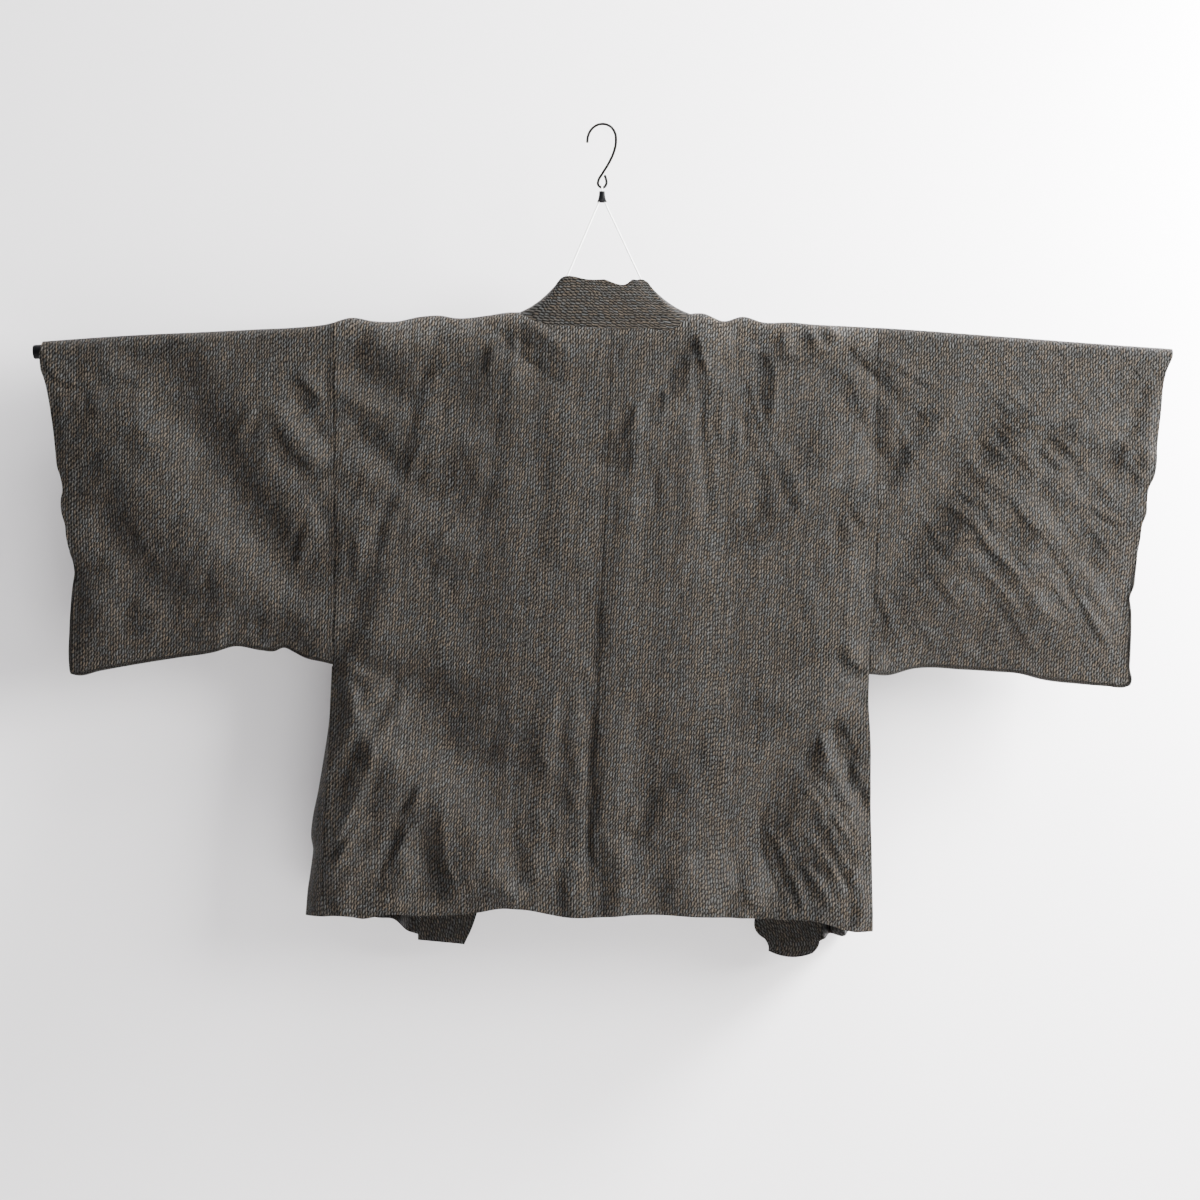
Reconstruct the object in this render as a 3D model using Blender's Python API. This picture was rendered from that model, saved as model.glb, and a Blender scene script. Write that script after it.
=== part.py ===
"""A short haori jacket hanging on a kimono hanger, seen from its back along +Y.

Metres, +Z up, +X to the wearer's right, the jacket's back towards -Y. The origin is the inside of
the hook's crown, where the hanger hangs. Sizes below are in millimetres and become metres where
a mesh is made. The cloth is made as sheets, each from a few edges and a table of folds.
"""

import math
from collections import namedtuple

import bmesh
import bpy
import numpy as np

MM = 0.001

# Cloth
CLOTH = 1.5  # thickness of a single cloth
COLLAR_CLOTH = 2.6  # the collar band is the cloth doubled
SEAM = 0.3  # how far each cloth stops short of the seam line
NECK_SEAM = 0.75  # the same where the thicker collar band joins
GUSSET_SEAM = 0.8  # and where a gusset turns away from the seam

# Hanger
BAR_RADIUS = 7.0
BAR_HEIGHT = -223.2  # the bar's middle, below the hook's crown
BAR_SLOPE = 0.04  # each arm falls by this share of its length
BAR_ROUND = 30.0  # the two arms meet in a soft bend of this length
BAR_CURVE = 2.7e-5  # and curve down a little more towards the ends
BAR_TILT = 0.0066  # the bar hangs a little lower on its right
BAR_LEFT_END = -627.5
BAR_RIGHT_END = 626.0
CAP_RADIUS = 8.0
CAP_LENGTH = 10.5
CAP_EDGE = 2.0
WIRE_RADIUS = 1.5
CORD_RADIUS = 0.8
CORD_ON_BAR = (-59.4, 65.0)  # where the cord is tied round the bar
EYE_HEIGHT = -69.7  # the wire at the bottom of the hook's eye
FERRULE_TOP = -73.9
FERRULE_BOTTOM = -86.3
FERRULE_TURN = -79.7  # the two strands lie side by side below here
TOUCH = 0.45  # clear space between two pieces that touch
TIE_TURN = (-250.0, 90.0)  # the cord's turn round the bar, in degrees
TIE_PITCH = 2.2  # how far it creeps along the bar in that turn
TIE_STEPS = 18
STRAND_GAP = 0.12  # half the gap between the strands in the ferrule

# How the cloth hangs from the bar
CLOTH_RADIUS = BAR_RADIUS + TOUCH + CLOTH / 2
NECK_ROOM = 4.0  # the neck stands this much further off the bar
NECK_ROOM_FULL = 98.0
NECK_ROOM_ENDS = 150.0
CAP_ROOM = 1.8  # and the cuffs stand off the bar's caps
CAP_ROOM_STARTS = 585.0
CAP_ROOM_FULL = 612.0
SIDE_DEPTH = 16.0  # side seams stand this much further out at the hem
BACK_BELLY = 0.25  # share by which the middle of the back hangs further out
BODY_BAG = 7.0  # and both layers bag out between their seams
BAG_START = 130.0
EDGE_DEPTH = 22.0  # the front edges at the hem
BODY_DROP = 660.0
FOLD_START = 30.0  # folds reach their depth this far below the bar
ROWS_ON_BAR = 4
NOMINAL_QUARTER = 17.0  # a quarter turn of cloth over the bar
NECK_LINE = -210.7  # height at which the shoulders' widths are read
NECK_SEAM_LINE = -226.7  # height of the collar's seam at the centre back
MID_HEIGHT = -400.0  # a first guess at a height, before it is worked out

# Sleeves
SLEEVE_BAG = 10.0  # how far the middle of a sleeve stands out
SLEEVE_DROP = 375.0
CUFF_OPENING = 235.0  # the cuff edge is open this far down from the shoulder
CUFF_CLOSES = 30.0  # and closes over this length
EDGE_ROLL = 3.0  # closed edges roll over this far
CLOSED_SHARE = 0.6  # a closed edge loses this share of the sleeve's depth
BOTTOM_SHUTS = 0.2  # over this last share of its drop
EDGE_SHUTS = 0.15  # and this last share of its width
ARMHOLE_BLEND = 0.3  # share of the sleeve that turns from armhole to bag

# Height of the cloth above the bare bar along the shoulders, where it puckers: x, lift
SHOULDER_LIFT = (
    (-640, 2.2), (-530, 2.8), (-440, 1.6), (-385, 1.3), (-345, 1.1), (-308, 3.1), (-281, 9.0),
    (-256, 3.9), (-232, 2.3), (-203, 6.6), (-181, 6.8), (-165, 3.4), (-129, 4.7), (-105, 7.3),
    (-91, 7.1), (97, 6.6), (112, 8.2), (137, 0.6), (158, 6.7), (180, 1.8), (213, 3.4), (237, 2.5),
    (267, 2.8), (342, 3.3), (430, 2.7), (580, 2.6), (640, 3.2),
)
# Depth of the neck hole below the shoulder line: x, drop
NECK_DROP = (
    (-90.7, 0.0), (-77.8, 9.8), (-65, 14.4), (-30, 18.0), (9, 19.7), (50, 17.5),
    (85, 12.6), (91.8, 5.6), (97.4, 0.0),
)
# Centre back seam: z, x
CENTRE_BACK = ((-207.7, 11.2), (-352.7, 7.0), (-532.7, -1.1), (-644.7, -5.6), (-789.7, -12.3), (-887.7, -10.1))
# Back hem: x, z
BACK_HEM = (
    (-330, -885.3), (-283, -882.2), (-262, -886.2), (-237, -884.7), (-142, -880.2),
    (-112, -875.7), (-86, -876.7), (-41, -884.7), (9, -884.2), (28, -882.7), (123, -885.3),
    (172, -887.2), (244, -890.7), (278, -900.7), (305, -900.9),
)

# The two halves: seams and edges, each a short table
Half = namedtuple(
    "Half",
    "neck_x side_seam front_edge front_hem gusset_fold gusset_top gusset_hem",
)
LEFT = Half(
    neck_x=-90.7,
    side_seam=((-202.7, -301.3), (-606.7, -301.3), (-702.7, -305), (-850.7, -311.4), (-887.7, -312.5)),
    front_edge=((-207.7, -90.7), (-292.7, -101), (-502.7, -139), (-702.7, -174), (-912.7, -209)),
    front_hem=((-313, -886.7), (-281, -887.7), (-255, -892.7), (-242, -896.7), (-222, -903.7), (-209, -910.7)),
    gusset_fold=(
        (-622.7, -309.5), (-642.7, -306), (-686.7, -308), (-745.7, -317.5), (-778.7, -324),
        (-797.7, -325.5), (-810.7, -323.5), (-824.7, -324.8), (-840.7, -327), (-852.7, -329),
        (-885.7, -332),
    ),
    gusset_top=-624.2,
    gusset_hem=-885.3,
)
RIGHT = Half(
    neck_x=97.4,
    side_seam=(
        (-202.7, 309.1), (-332.7, 308), (-515.7, 305.8), (-612.7, 298), (-702.7, 299.5),
        (-802.7, 299.5), (-902.7, 301),
    ),
    front_edge=((-207.7, 97.4), (-292.7, 114), (-502.7, 157), (-702.7, 199), (-919.7, 247)),
    front_hem=(
        (244, -920.7), (250, -918.2), (260, -911.7), (272, -908.2), (290, -905.7), (303, -903.7),
    ),
    gusset_fold=((-606.7, 294.5), (-902.7, 296)),
    gusset_top=-620.2,
    gusset_hem=-900.7,
)
PLEATS = 2
PLEAT_MARGIN = 0.08  # share of the front's width left flat beside each seam
NECK_COLUMNS = (0.0, 0.25, 0.5, 0.72, 0.87, 1.0)
SHOULDER_COLUMNS = 11
BODY_ROWS = 19

# Sleeves: cuff edge z, x and bottom edge x, z
Sleeve = namedtuple("Sleeve", "side_seam cuff_edge bottom_edge")
SLEEVE_LEFT = Sleeve(
    side_seam=LEFT.side_seam,
    cuff_edge=(
        (-237.7, -626), (-264.7, -629), (-273.7, -628), (-286.7, -623.5), (-331.7, -615),
        (-367.7, -610.8), (-380.7, -609.5), (-394.7, -605.5), (-407.7, -603), (-421.7, -605),
        (-434.7, -604), (-448.7, -599.8), (-461.7, -598.5), (-475.7, -595.6), (-489.7, -592.5),
        (-502.7, -591.4), (-515.7, -593.3), (-542.7, -595.8), (-565.7, -597), (-602.7, -597.5),
        (-614.7, -596), (-622.7, -592),
    ),
    bottom_edge=(
        (-600, -613.7), (-587, -616.7), (-564, -611.7), (-523, -604.2), (-476, -596.7), (-436, -590.7),
        (-412, -584), (-382, -588.7), (-365, -590.7), (-355, -595.7), (-342, -603.7), (-330, -611.7),
        (-318, -618.7), (-300, -620.7),
    ),
)
SLEEVE_RIGHT = Sleeve(
    side_seam=RIGHT.side_seam,
    cuff_edge=(
        (-242.7, 639), (-259.7, 638.5), (-274.7, 632), (-330.7, 623.5), (-362.7, 619.5),
        (-394.7, 616.5), (-407.7, 610.5), (-422.7, 608.5), (-435.7, 608), (-448.7, 603.2),
        (-461.7, 602), (-475.7, 600), (-502.7, 598), (-516.7, 596.5), (-529.7, 591.8),
        (-542.7, 593.2), (-569.7, 593.4), (-596.7, 592.3), (-609.7, 591.8), (-622.7, 594),
        (-632.7, 590),
    ),
    bottom_edge=(
        (297, -614.7), (320, -616.5), (348, -609.3), (408, -610.3), (442, -612.5), (468, -614.7),
        (493, -621.2), (537, -626.5), (566, -628.8), (587, -629.9), (600, -623.7),
    ),
)

# Folds: where each starts and ends, its bend sideways, its half width and its depth into the cloth
# (a ridge has a depth below nought).
Fold = namedtuple("Fold", "x z x_end z_end bend width depth")
FOLD_FADE = 0.15  # a fold fades out over this share of its length, before and past its end
BACK_FOLDS = (
    # left sleeve
    Fold(-520, -303, -329, -532, 10, 36, -6),
    Fold(-562, -376, -470, -517, 0, 30, 5),
    Fold(-494, -244, -342, -485, -8, 16, 4),
    Fold(-575, -508, -560, -603, 0, 28, 4),
    # upper back, left
    Fold(-296, -308, -225, -374, 0, 16, 6),
    Fold(-187, -254, -221, -386, 6, 15, 7),
    Fold(-290, -338, -225, -403, 0, 20, -5),
    Fold(-99, -215, -129, -429, 14, 16, 4),
    # upper back, right
    Fold(104, -237, 122, -421, -6, 17, 6),
    Fold(35, -313, 30, -386, 8, 18, 4),
    Fold(185, -258, 190, -318, 0, 16, 4),
    Fold(195, -360, 218, -421, 0, 16, 4),
    Fold(263, -273, 291, -322, 0, 15, 7),
    # right sleeve
    Fold(403, -375, 487, -459, 0, 15, 5),
    Fold(398, -441, 460, -509, 0, 15, 7),
    Fold(407, -486, 485, -593, 0, 16, 6),
    Fold(512, -486, 562, -582, 0, 16, 5),
    Fold(338, -554, 419, -600, 5, 16, 5),
    Fold(464, -336, 338, -500, 0, 30, 4),
    # lower back, left
    Fold(-267, -690, -303, -854, 10, 16, 8),
    Fold(-185, -765, -173, -883, 0, 17, 9),
    Fold(-208, -739, -242, -841, 0, 15, 5),
    Fold(-298, -602, -143, -646, 6, 16, 4),
    Fold(-278, -622, -103, -849, 8, 36, -7),
    Fold(-70, -663, -72, -833, 0, 15, 4),
    # lower back, right
    Fold(187, -786, 216, -888, 0, 18, 8),
    Fold(240, -686, 282, -770, -4, 16, 6),
    Fold(250, -803, 256, -883, 0, 18, 5),
    Fold(79, -818, 78, -888, 0, 16, 6),
    Fold(279, -638, 123, -797, -8, 26, -7),
    Fold(62, -738, 49, -797, 0, 15, 4),
)
FRONT_FOLDS = (
    # left sleeve
    Fold(-404, -355, -491, -449, 0, 18, 5),
    Fold(-398, -441, -462, -523, 0, 16, 5),
    Fold(-512, -473, -562, -573, 0, 17, 4),
    Fold(-330, -303, -360, -423, 0, 22, 4),
    # right sleeve
    Fold(520, -303, 345, -503, -8, 34, -6),
    Fold(562, -376, 478, -523, 0, 28, 5),
    Fold(494, -263, 360, -473, 8, 17, 4),
    # shoulders of the fronts
    Fold(-270, -283, -220, -383, 0, 18, 5),
    Fold(-140, -263, -180, -403, 5, 18, 5),
    Fold(265, -278, 225, -393, 0, 18, 5),
    Fold(160, -268, 185, -403, 0, 18, 5),
)

# Collar band: how its free edge lies from its sewn edge. The first column is 0 at the centre back,
# 1 at the neck point, then 1 more for each 100 mm down the front.
COLLAR_TURN = 100.0
Lean = namedtuple("Lean", "place across out up bow")  # bow lowers the band's middle
COLLAR_LEFT = (
    Lean(0.00, -8, -2.0, 54.5, 0), Lean(0.40, 13, -2.0, 52.5, 0), Lean(0.72, 28, -1.5, 53.5, -0.5),
    Lean(0.86, 35, 1.0, 43.5, -2), Lean(1.00, 41.0, 0.0, 32.0, -4), Lean(1.10, 46, 1.0, 25.0, -3.5),
    Lean(1.22, 51, 1.5, 18.0, -2), Lean(1.45, 55, 1.0, 9.0, -1), Lean(1.80, 58, 1.0, 1.0, 0),
    Lean(2.40, 59, 2.0, -4.0, 0), Lean(5.00, 61, 4.0, -7.0, 0), Lean(7.60, 63.5, 4.0, -5.5, 0),
    Lean(7.98, 55.5, 4.0, -5.5, 0), Lean(8.05, 52.5, 4.0, -5.5, 0),
)
COLLAR_RIGHT = (
    Lean(0.00, -8, -2.0, 54.5, 0), Lean(0.25, -10, -2.0, 50.0, 0), Lean(0.55, -22, -2.0, 53.0, 0),
    Lean(0.86, -37, 1.0, 45.0, -2), Lean(1.00, -41.4, 0.0, 28.0, -3.5), Lean(1.10, -46, 1.0, 22.5, -3),
    Lean(1.22, -51, 1.5, 17.0, -2), Lean(1.45, -55, 1.0, 9.0, -1), Lean(1.80, -58, 1.0, 1.0, 0),
    Lean(2.40, -59, 2.0, -8.0, 0), Lean(5.00, -62, 4.0, -12.0, 0), Lean(7.60, -67.5, 4.0, 0.0, 0),
    Lean(8.00, -63, 4.0, 2.0, 0), Lean(8.07, -57.5, 4.0, 4.5, -7),
)
COLLAR_BELOW_HEM = (6.5, 14.0)  # how far the band's ends hang below the front hems

# The hook's wire, from its tip over the crown and down to the eye: x, z
HOOK_ROUTE = (
    (-16.6, -19.9), (-15.8, -12.5), (-11.4, -4.0), (-4.3, 0.8), (2.6, 1.5), (9.8, -1.6),
    (14.6, -8.5), (15.7, -17.0), (13.4, -29.5), (7.8, -42.0), (0.6, -53.8),
    (-3.8, -61.2), (-4.4, -66.2), (-1.8, -69.3), (2.4, -69.3), (4.8, -65.7), (4.7, -61.2), (3.4, -57.5),
)


def smooth(share):
    """An even step from 0 to 1."""
    share = np.clip(share, 0.0, 1.0)
    return share * share * (3.0 - 2.0 * share)


def along(table, at):
    """Reads a table of two columns as a smooth curve."""
    rows = np.array(table, float)
    places, values = rows[np.argsort(rows[:, 0])].T
    slopes = np.gradient(values, places)
    at = np.clip(at, places[0], places[-1])
    first = np.clip(np.searchsorted(places, at) - 1, 0, len(places) - 2)
    span = places[first + 1] - places[first]
    t = (at - places[first]) / span
    start = values[first] * (1 + 2 * t) * (1 - t) ** 2 + slopes[first] * span * t * (1 - t) ** 2
    end = values[first + 1] * t * t * (3 - 2 * t) - slopes[first + 1] * span * t * t * (1 - t)
    return start + end


def bar_height(x):
    """Height of the bar's middle line."""
    arm = np.sqrt(x * x + BAR_ROUND**2) - BAR_ROUND
    return BAR_HEIGHT - BAR_SLOPE * arm - BAR_CURVE * x * x - BAR_TILT * x


def fold_depth(folds, x, z):
    """How far the folds push the cloth in at a place."""
    total = np.zeros(np.shape(x))
    for fold in folds:
        run_x = fold.x_end - fold.x
        run_z = fold.z_end - fold.z
        length = math.hypot(run_x, run_z)
        share = ((x - fold.x) * run_x + (z - fold.z) * run_z) / length**2
        aside = ((z - fold.z) * run_x - (x - fold.x) * run_z) / length
        aside = aside - fold.bend * 4 * share * (1 - share)
        ends = smooth(share / (2 * FOLD_FADE) + 0.5) * smooth((1 - share) / (2 * FOLD_FADE) + 0.5)
        total += fold.depth * ends * np.exp(-((aside / fold.width) ** 2))
    return total


def room(x):
    """How much further the cloth stands off the bar at the neck and round the bar's caps."""
    neck = smooth((NECK_ROOM_ENDS - np.abs(x)) / (NECK_ROOM_ENDS - NECK_ROOM_FULL))
    cap = smooth((np.abs(x) - CAP_ROOM_STARTS) / (CAP_ROOM_FULL - CAP_ROOM_STARTS))
    return NECK_ROOM * neck + CAP_ROOM * cap


def quarter_turn(x):
    """Length of cloth from the shoulder line to the bar's side."""
    radius = CLOTH_RADIUS + (room(x) + along(SHOULDER_LIFT, x)) / 2
    return radius * math.pi / 2


def over_bar(x, run):
    """Reach from the hanger's plane and height of cloth that has run this far from the shoulder line."""
    turn = quarter_turn(x)
    angle = np.clip(run / turn, 0, 1) * math.pi / 2
    reach = (CLOTH_RADIUS + room(x)) * np.sin(angle)
    height = bar_height(x) + (CLOTH_RADIUS + along(SHOULDER_LIFT, x)) * np.cos(angle)
    below = np.maximum(run - turn, 0)
    return reach, height - below, below


def side_depth(below):
    return SIDE_DEPTH * below / BODY_DROP


def neck_start(x):
    """Run of cloth at which the neck hole's edge lies."""
    drop = along(NECK_DROP, x)
    rise = CLOTH_RADIUS + along(SHOULDER_LIFT, x)
    on_turn = np.arccos(np.clip(1 - drop / rise, 0, 1)) / (math.pi / 2) * quarter_turn(x)
    return np.where(drop < rise, on_turn, quarter_turn(x) + drop - rise)


def row_shares(rows, length):
    """Shares of the cloth's length for its rows, closer together over the bar."""
    first = np.linspace(0, NOMINAL_QUARTER / length, ROWS_ON_BAR + 1)
    rest = np.linspace(NOMINAL_QUARTER / length, 1, rows + 1)
    return np.concatenate([first, rest[1:]])


def back_across(half, share, z):
    centre = along(CENTRE_BACK, z) + math.copysign(SEAM, half.neck_x)
    side = along(half.side_seam, z) - math.copysign(SEAM, half.neck_x)
    return centre + (side - centre) * share


def front_across(half, share, z):
    edge = along(half.front_edge, z) + math.copysign(NECK_SEAM, half.neck_x)
    side = along(half.side_seam, z) - math.copysign(SEAM, half.neck_x)
    return edge + (side - edge) * share


def back_point(half, share, down):
    """A point of the back: share runs from centre back to side seam, down from neck or shoulder to hem."""
    x = back_across(half, share, MID_HEIGHT)
    for _ in range(5):
        inside_neck = np.abs(x) < np.abs(half.neck_x)
        start = np.where(inside_neck, neck_start(x) + NECK_SEAM, 0.0)
        end = quarter_turn(x) + bar_height(x) - along(BACK_HEM, x)
        run = start + (end - start) * down
        reach, z, below = over_bar(x, run)
        x = back_across(half, share, z)
    middle = 1 - (x / along(LEFT.side_seam, z)) ** 2
    reach = reach + side_depth(below) * (1 + BACK_BELLY * middle)
    reach = reach + BODY_BAG * middle * smooth(below / BAG_START)
    reach = reach - fold_depth(BACK_FOLDS, x, z) * smooth(below / FOLD_START)
    return x, -reach, z


def pleat_size(half, z):
    """The front keeps its width while its edge swings out, so what is spare goes into pleats."""
    full = abs(along(half.side_seam, NECK_LINE) - half.neck_x)
    width = np.abs(along(half.side_seam, z) - along(half.front_edge, z))
    return np.sqrt(np.maximum(full**2 - width**2, 0)) / (4 * PLEATS)


def front_reach(half, share, x, reach, z, below):
    edge = EDGE_DEPTH * (below / BODY_DROP) ** 1.2
    reach = reach + edge * (1 - share) + side_depth(below) * share
    reach = reach + BODY_BAG * (1 - share**2) * smooth(below / BAG_START)
    inside = np.clip((share - PLEAT_MARGIN) / (1 - 2 * PLEAT_MARGIN), 0, 1)
    pleats = pleat_size(half, z) * (1 - np.cos(2 * math.pi * PLEATS * inside))
    reach = reach + pleats * smooth(below / (3 * FOLD_START))
    return reach - fold_depth(FRONT_FOLDS, x, z) * smooth(below / FOLD_START)


def front_point(half, share, down):
    """A point of a front: share runs from the collar's edge to the side seam, down from shoulder to hem."""
    x = front_across(half, share, MID_HEIGHT)
    for _ in range(5):
        end = quarter_turn(x) + bar_height(x) - along(half.front_hem, x)
        reach, z, below = over_bar(x, end * down)
        x = front_across(half, share, z)
    return x, front_reach(half, share, x, reach, z, below), z


def sleeve_point(sleeve, share, down, side):
    """A point of a sleeve: share runs from armhole to cuff, down from shoulder to bottom edge.

    side is -1 for the back cloth, 1 for the front cloth and 0 for the roll between them."""
    sign = math.copysign(1, sleeve.cuff_edge[0][1])
    z = np.full(np.shape(share + down), MID_HEIGHT)
    closed = smooth((down * SLEEVE_DROP - CUFF_OPENING) / CUFF_CLOSES)
    roll = np.where(side == 0, 0.0, EDGE_ROLL)
    for _ in range(6):
        seam = along(sleeve.side_seam, z) + sign * SEAM
        cuff = along(sleeve.cuff_edge, z) - sign * roll * closed
        x = seam + (cuff - seam) * share
        bottom = along(sleeve.bottom_edge, x) + roll
        end = quarter_turn(x) + bar_height(x) - bottom
        reach, z, below = over_bar(x, end * down)
    bag = SLEEVE_BAG * np.sin(math.pi * np.clip(down, 0, 1))
    blend = smooth(share / ARMHOLE_BLEND)
    reach = reach + side_depth(below) * (1 - blend) + bag * blend
    bottom_shut = smooth(1 + (down - 1) / BOTTOM_SHUTS) * blend
    shut = np.maximum(bottom_shut, smooth(1 + (share - 1) / EDGE_SHUTS) * closed)
    folds = BACK_FOLDS if side < 0 else FRONT_FOLDS
    reach = reach - fold_depth(folds, x, z) * smooth(below / FOLD_START) * (1 - shut)
    reach = reach * (1 - CLOSED_SHARE * shut)
    return x, side * reach, z


def material(name, colour, roughness, metallic=0.0):
    finish = bpy.data.materials.new(name)
    finish.use_nodes = True
    shader = finish.node_tree.nodes["Principled BSDF"]
    shader.inputs["Base Color"].default_value = (*colour, 1.0)
    shader.inputs["Roughness"].default_value = roughness
    shader.inputs["Metallic"].default_value = metallic
    return finish


def place(name, mesh_or_curve, finish):
    piece = bpy.data.objects.new(name, mesh_or_curve)
    bpy.context.scene.collection.objects.link(piece)
    piece.data.materials.append(finish)
    return piece


def cloth_piece(name, points, faces, thickness, finish):
    """A sheet through the middle of the cloth, given its thickness by Solidify."""
    mesh = bpy.data.meshes.new(name)
    mesh.from_pydata((np.array(points) * MM).tolist(), [], faces)
    sheet = bmesh.new()
    sheet.from_mesh(mesh)
    bmesh.ops.recalc_face_normals(sheet, faces=sheet.faces)
    sheet.to_mesh(mesh)
    sheet.free()
    mesh.shade_smooth()
    piece = place(name, mesh, finish)
    wall = piece.modifiers.new("cloth", "SOLIDIFY")
    wall.thickness = thickness * MM
    wall.offset = 0.0
    wall.use_rim = True
    return piece


def grid_faces(index):
    """Four-sided faces between the rows and columns of a grid of point numbers."""
    rows, columns = index.shape
    return [
        (int(index[r, c]), int(index[r + 1, c]), int(index[r + 1, c + 1]), int(index[r, c + 1]))
        for r in range(rows - 1)
        for c in range(columns - 1)
    ]


def stacked(x, y, z):
    return np.stack(np.broadcast_arrays(x, y, z), axis=-1).reshape(-1, 3)


def body_panel(name, half, finish):
    """Back half and front in one cloth over the shoulder, with half the neck hole cut out."""
    neck_share = neck_share_of(half)
    neck = neck_share * np.array(NECK_COLUMNS)
    shoulder = np.linspace(neck_share, 1, SHOULDER_COLUMNS + 1)
    shares = np.concatenate([neck, shoulder[1:]])
    neck_columns = len(neck) - 1
    down = row_shares(BODY_ROWS, BODY_DROP)[:, None]
    back = stacked(*back_point(half, shares[None, :], down))
    front_shares = np.linspace(0, 1, SHOULDER_COLUMNS + 1)[None, :]
    front = stacked(*front_point(half, front_shares, down[1:]))
    back_index = np.arange(len(back)).reshape(len(down), -1)
    front_index = len(back) + np.arange(len(front)).reshape(len(down) - 1, -1)
    front_index = np.vstack([back_index[0, neck_columns:], front_index])
    faces = grid_faces(back_index) + grid_faces(front_index)
    return cloth_piece(name, np.vstack([back, front]), faces, CLOTH, finish)


def neck_share_of(half):
    """Share of the back's width at which the neck hole ends."""
    centre = back_across(half, 0.0, NECK_LINE)
    side = back_across(half, 1.0, NECK_LINE)
    edge = half.neck_x + math.copysign(NECK_SEAM, half.neck_x)
    return float((edge - centre) / (side - centre))


def sleeve_piece(name, sleeve, finish, columns=12, rows=16):
    """One cloth folded over the bar, closed along the bottom and up the cuff edge to the hand opening."""
    shares = np.linspace(0, 1, columns + 1)[None, :]
    down = row_shares(rows, SLEEVE_DROP)[:, None]
    back = stacked(*sleeve_point(sleeve, shares, down, -1))
    front = stacked(*sleeve_point(sleeve, shares, down[1:], 1))
    bottom = stacked(*sleeve_point(sleeve, shares, np.ones((1, 1)), 0))
    first_closed = int(np.searchsorted(down[:, 0] * SLEEVE_DROP, CUFF_OPENING + 5))
    edge_down = down[first_closed:-1]
    edge = stacked(*sleeve_point(sleeve, np.ones((1, 1)), edge_down, 0))
    points = np.vstack([back, front, bottom, edge])
    back_index = np.arange(len(back)).reshape(len(down), -1)
    front_index = len(back) + np.arange(len(front)).reshape(len(down) - 1, -1)
    front_index = np.vstack([back_index[0], front_index])
    bottom_index = len(back) + len(front) + np.arange(len(bottom))
    edge_index = len(back) + len(front) + len(bottom) + np.arange(len(edge))
    # The roll runs down the closed part of the cuff edge and back along the bottom.
    roll = np.concatenate([edge_index, bottom_index[::-1]])
    back_edge = np.concatenate([back_index[first_closed:-1, -1], back_index[-1, ::-1]])
    front_edge = np.concatenate([front_index[first_closed:-1, -1], front_index[-1, ::-1]])
    faces = grid_faces(back_index) + grid_faces(front_index)
    faces += grid_faces(np.vstack([back_edge, roll, front_edge]))
    return cloth_piece(name, points, faces, CLOTH, finish)


def collar_across(half, place, sewn, shares):
    """Points across the band from its sewn edge to its free edge."""
    table = np.array(COLLAR_LEFT if half is LEFT else COLLAR_RIGHT, float)
    *lean, bow = [along(table[:, [0, column]], place) for column in (1, 2, 3, 4)]
    points = sewn + np.array(lean) * shares[:, None]
    points[:, 2] += bow * 4 * shares * (1 - shares)
    return points


def collar_on_neck(half, share, across):
    """The band at a share of the way from centre back to neck point."""
    x = along(CENTRE_BACK, NECK_SEAM_LINE) * (1 - share) + half.neck_x * share
    reach, z, _ = over_bar(x, neck_start(x) - NECK_SEAM)
    sewn = np.array([float(x), -float(reach), float(z)])
    return collar_across(half, share, sewn, across)


def collar_on_front(half, down, across):
    """The band beside the front's edge, down from shoulder to hem; past 1 is below the hem."""
    x = half.neck_x
    for _ in range(5):
        end = quarter_turn(x) + bar_height(x) - along(half.front_hem, x)
        reach, z, below = over_bar(x, end * min(down, 1.0))
        x = along(half.front_edge, z) - math.copysign(NECK_SEAM, half.neck_x)
    y = front_reach(half, 0.0, x, reach, z, below)
    lower = COLLAR_BELOW_HEM[0 if half is LEFT else 1] if down > 1 else 0.0
    sewn = np.array([float(x), float(y), float(z) - lower])
    return collar_across(half, 1 + end * down / COLLAR_TURN, sewn, across)


def collar_band(name, finish, columns=3):
    """One doubled strip from hem to hem, standing up round the neck."""
    shares = np.array(NECK_COLUMNS)
    downs = np.append(row_shares(BODY_ROWS, BODY_DROP)[1:], 1.01)
    across = np.linspace(0, 1, columns + 1)
    rows = [collar_on_front(LEFT, down, across) for down in downs[::-1]]
    rows += [collar_on_neck(LEFT, share, across) for share in shares[::-1]]
    rows += [collar_on_neck(RIGHT, share, across) for share in shares[1:]]
    rows += [collar_on_front(RIGHT, down, across) for down in downs]
    faces = grid_faces(np.arange(len(rows) * len(across)).reshape(len(rows), -1))
    return cloth_piece(name, np.vstack(rows), faces, COLLAR_CLOTH, finish)


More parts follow.
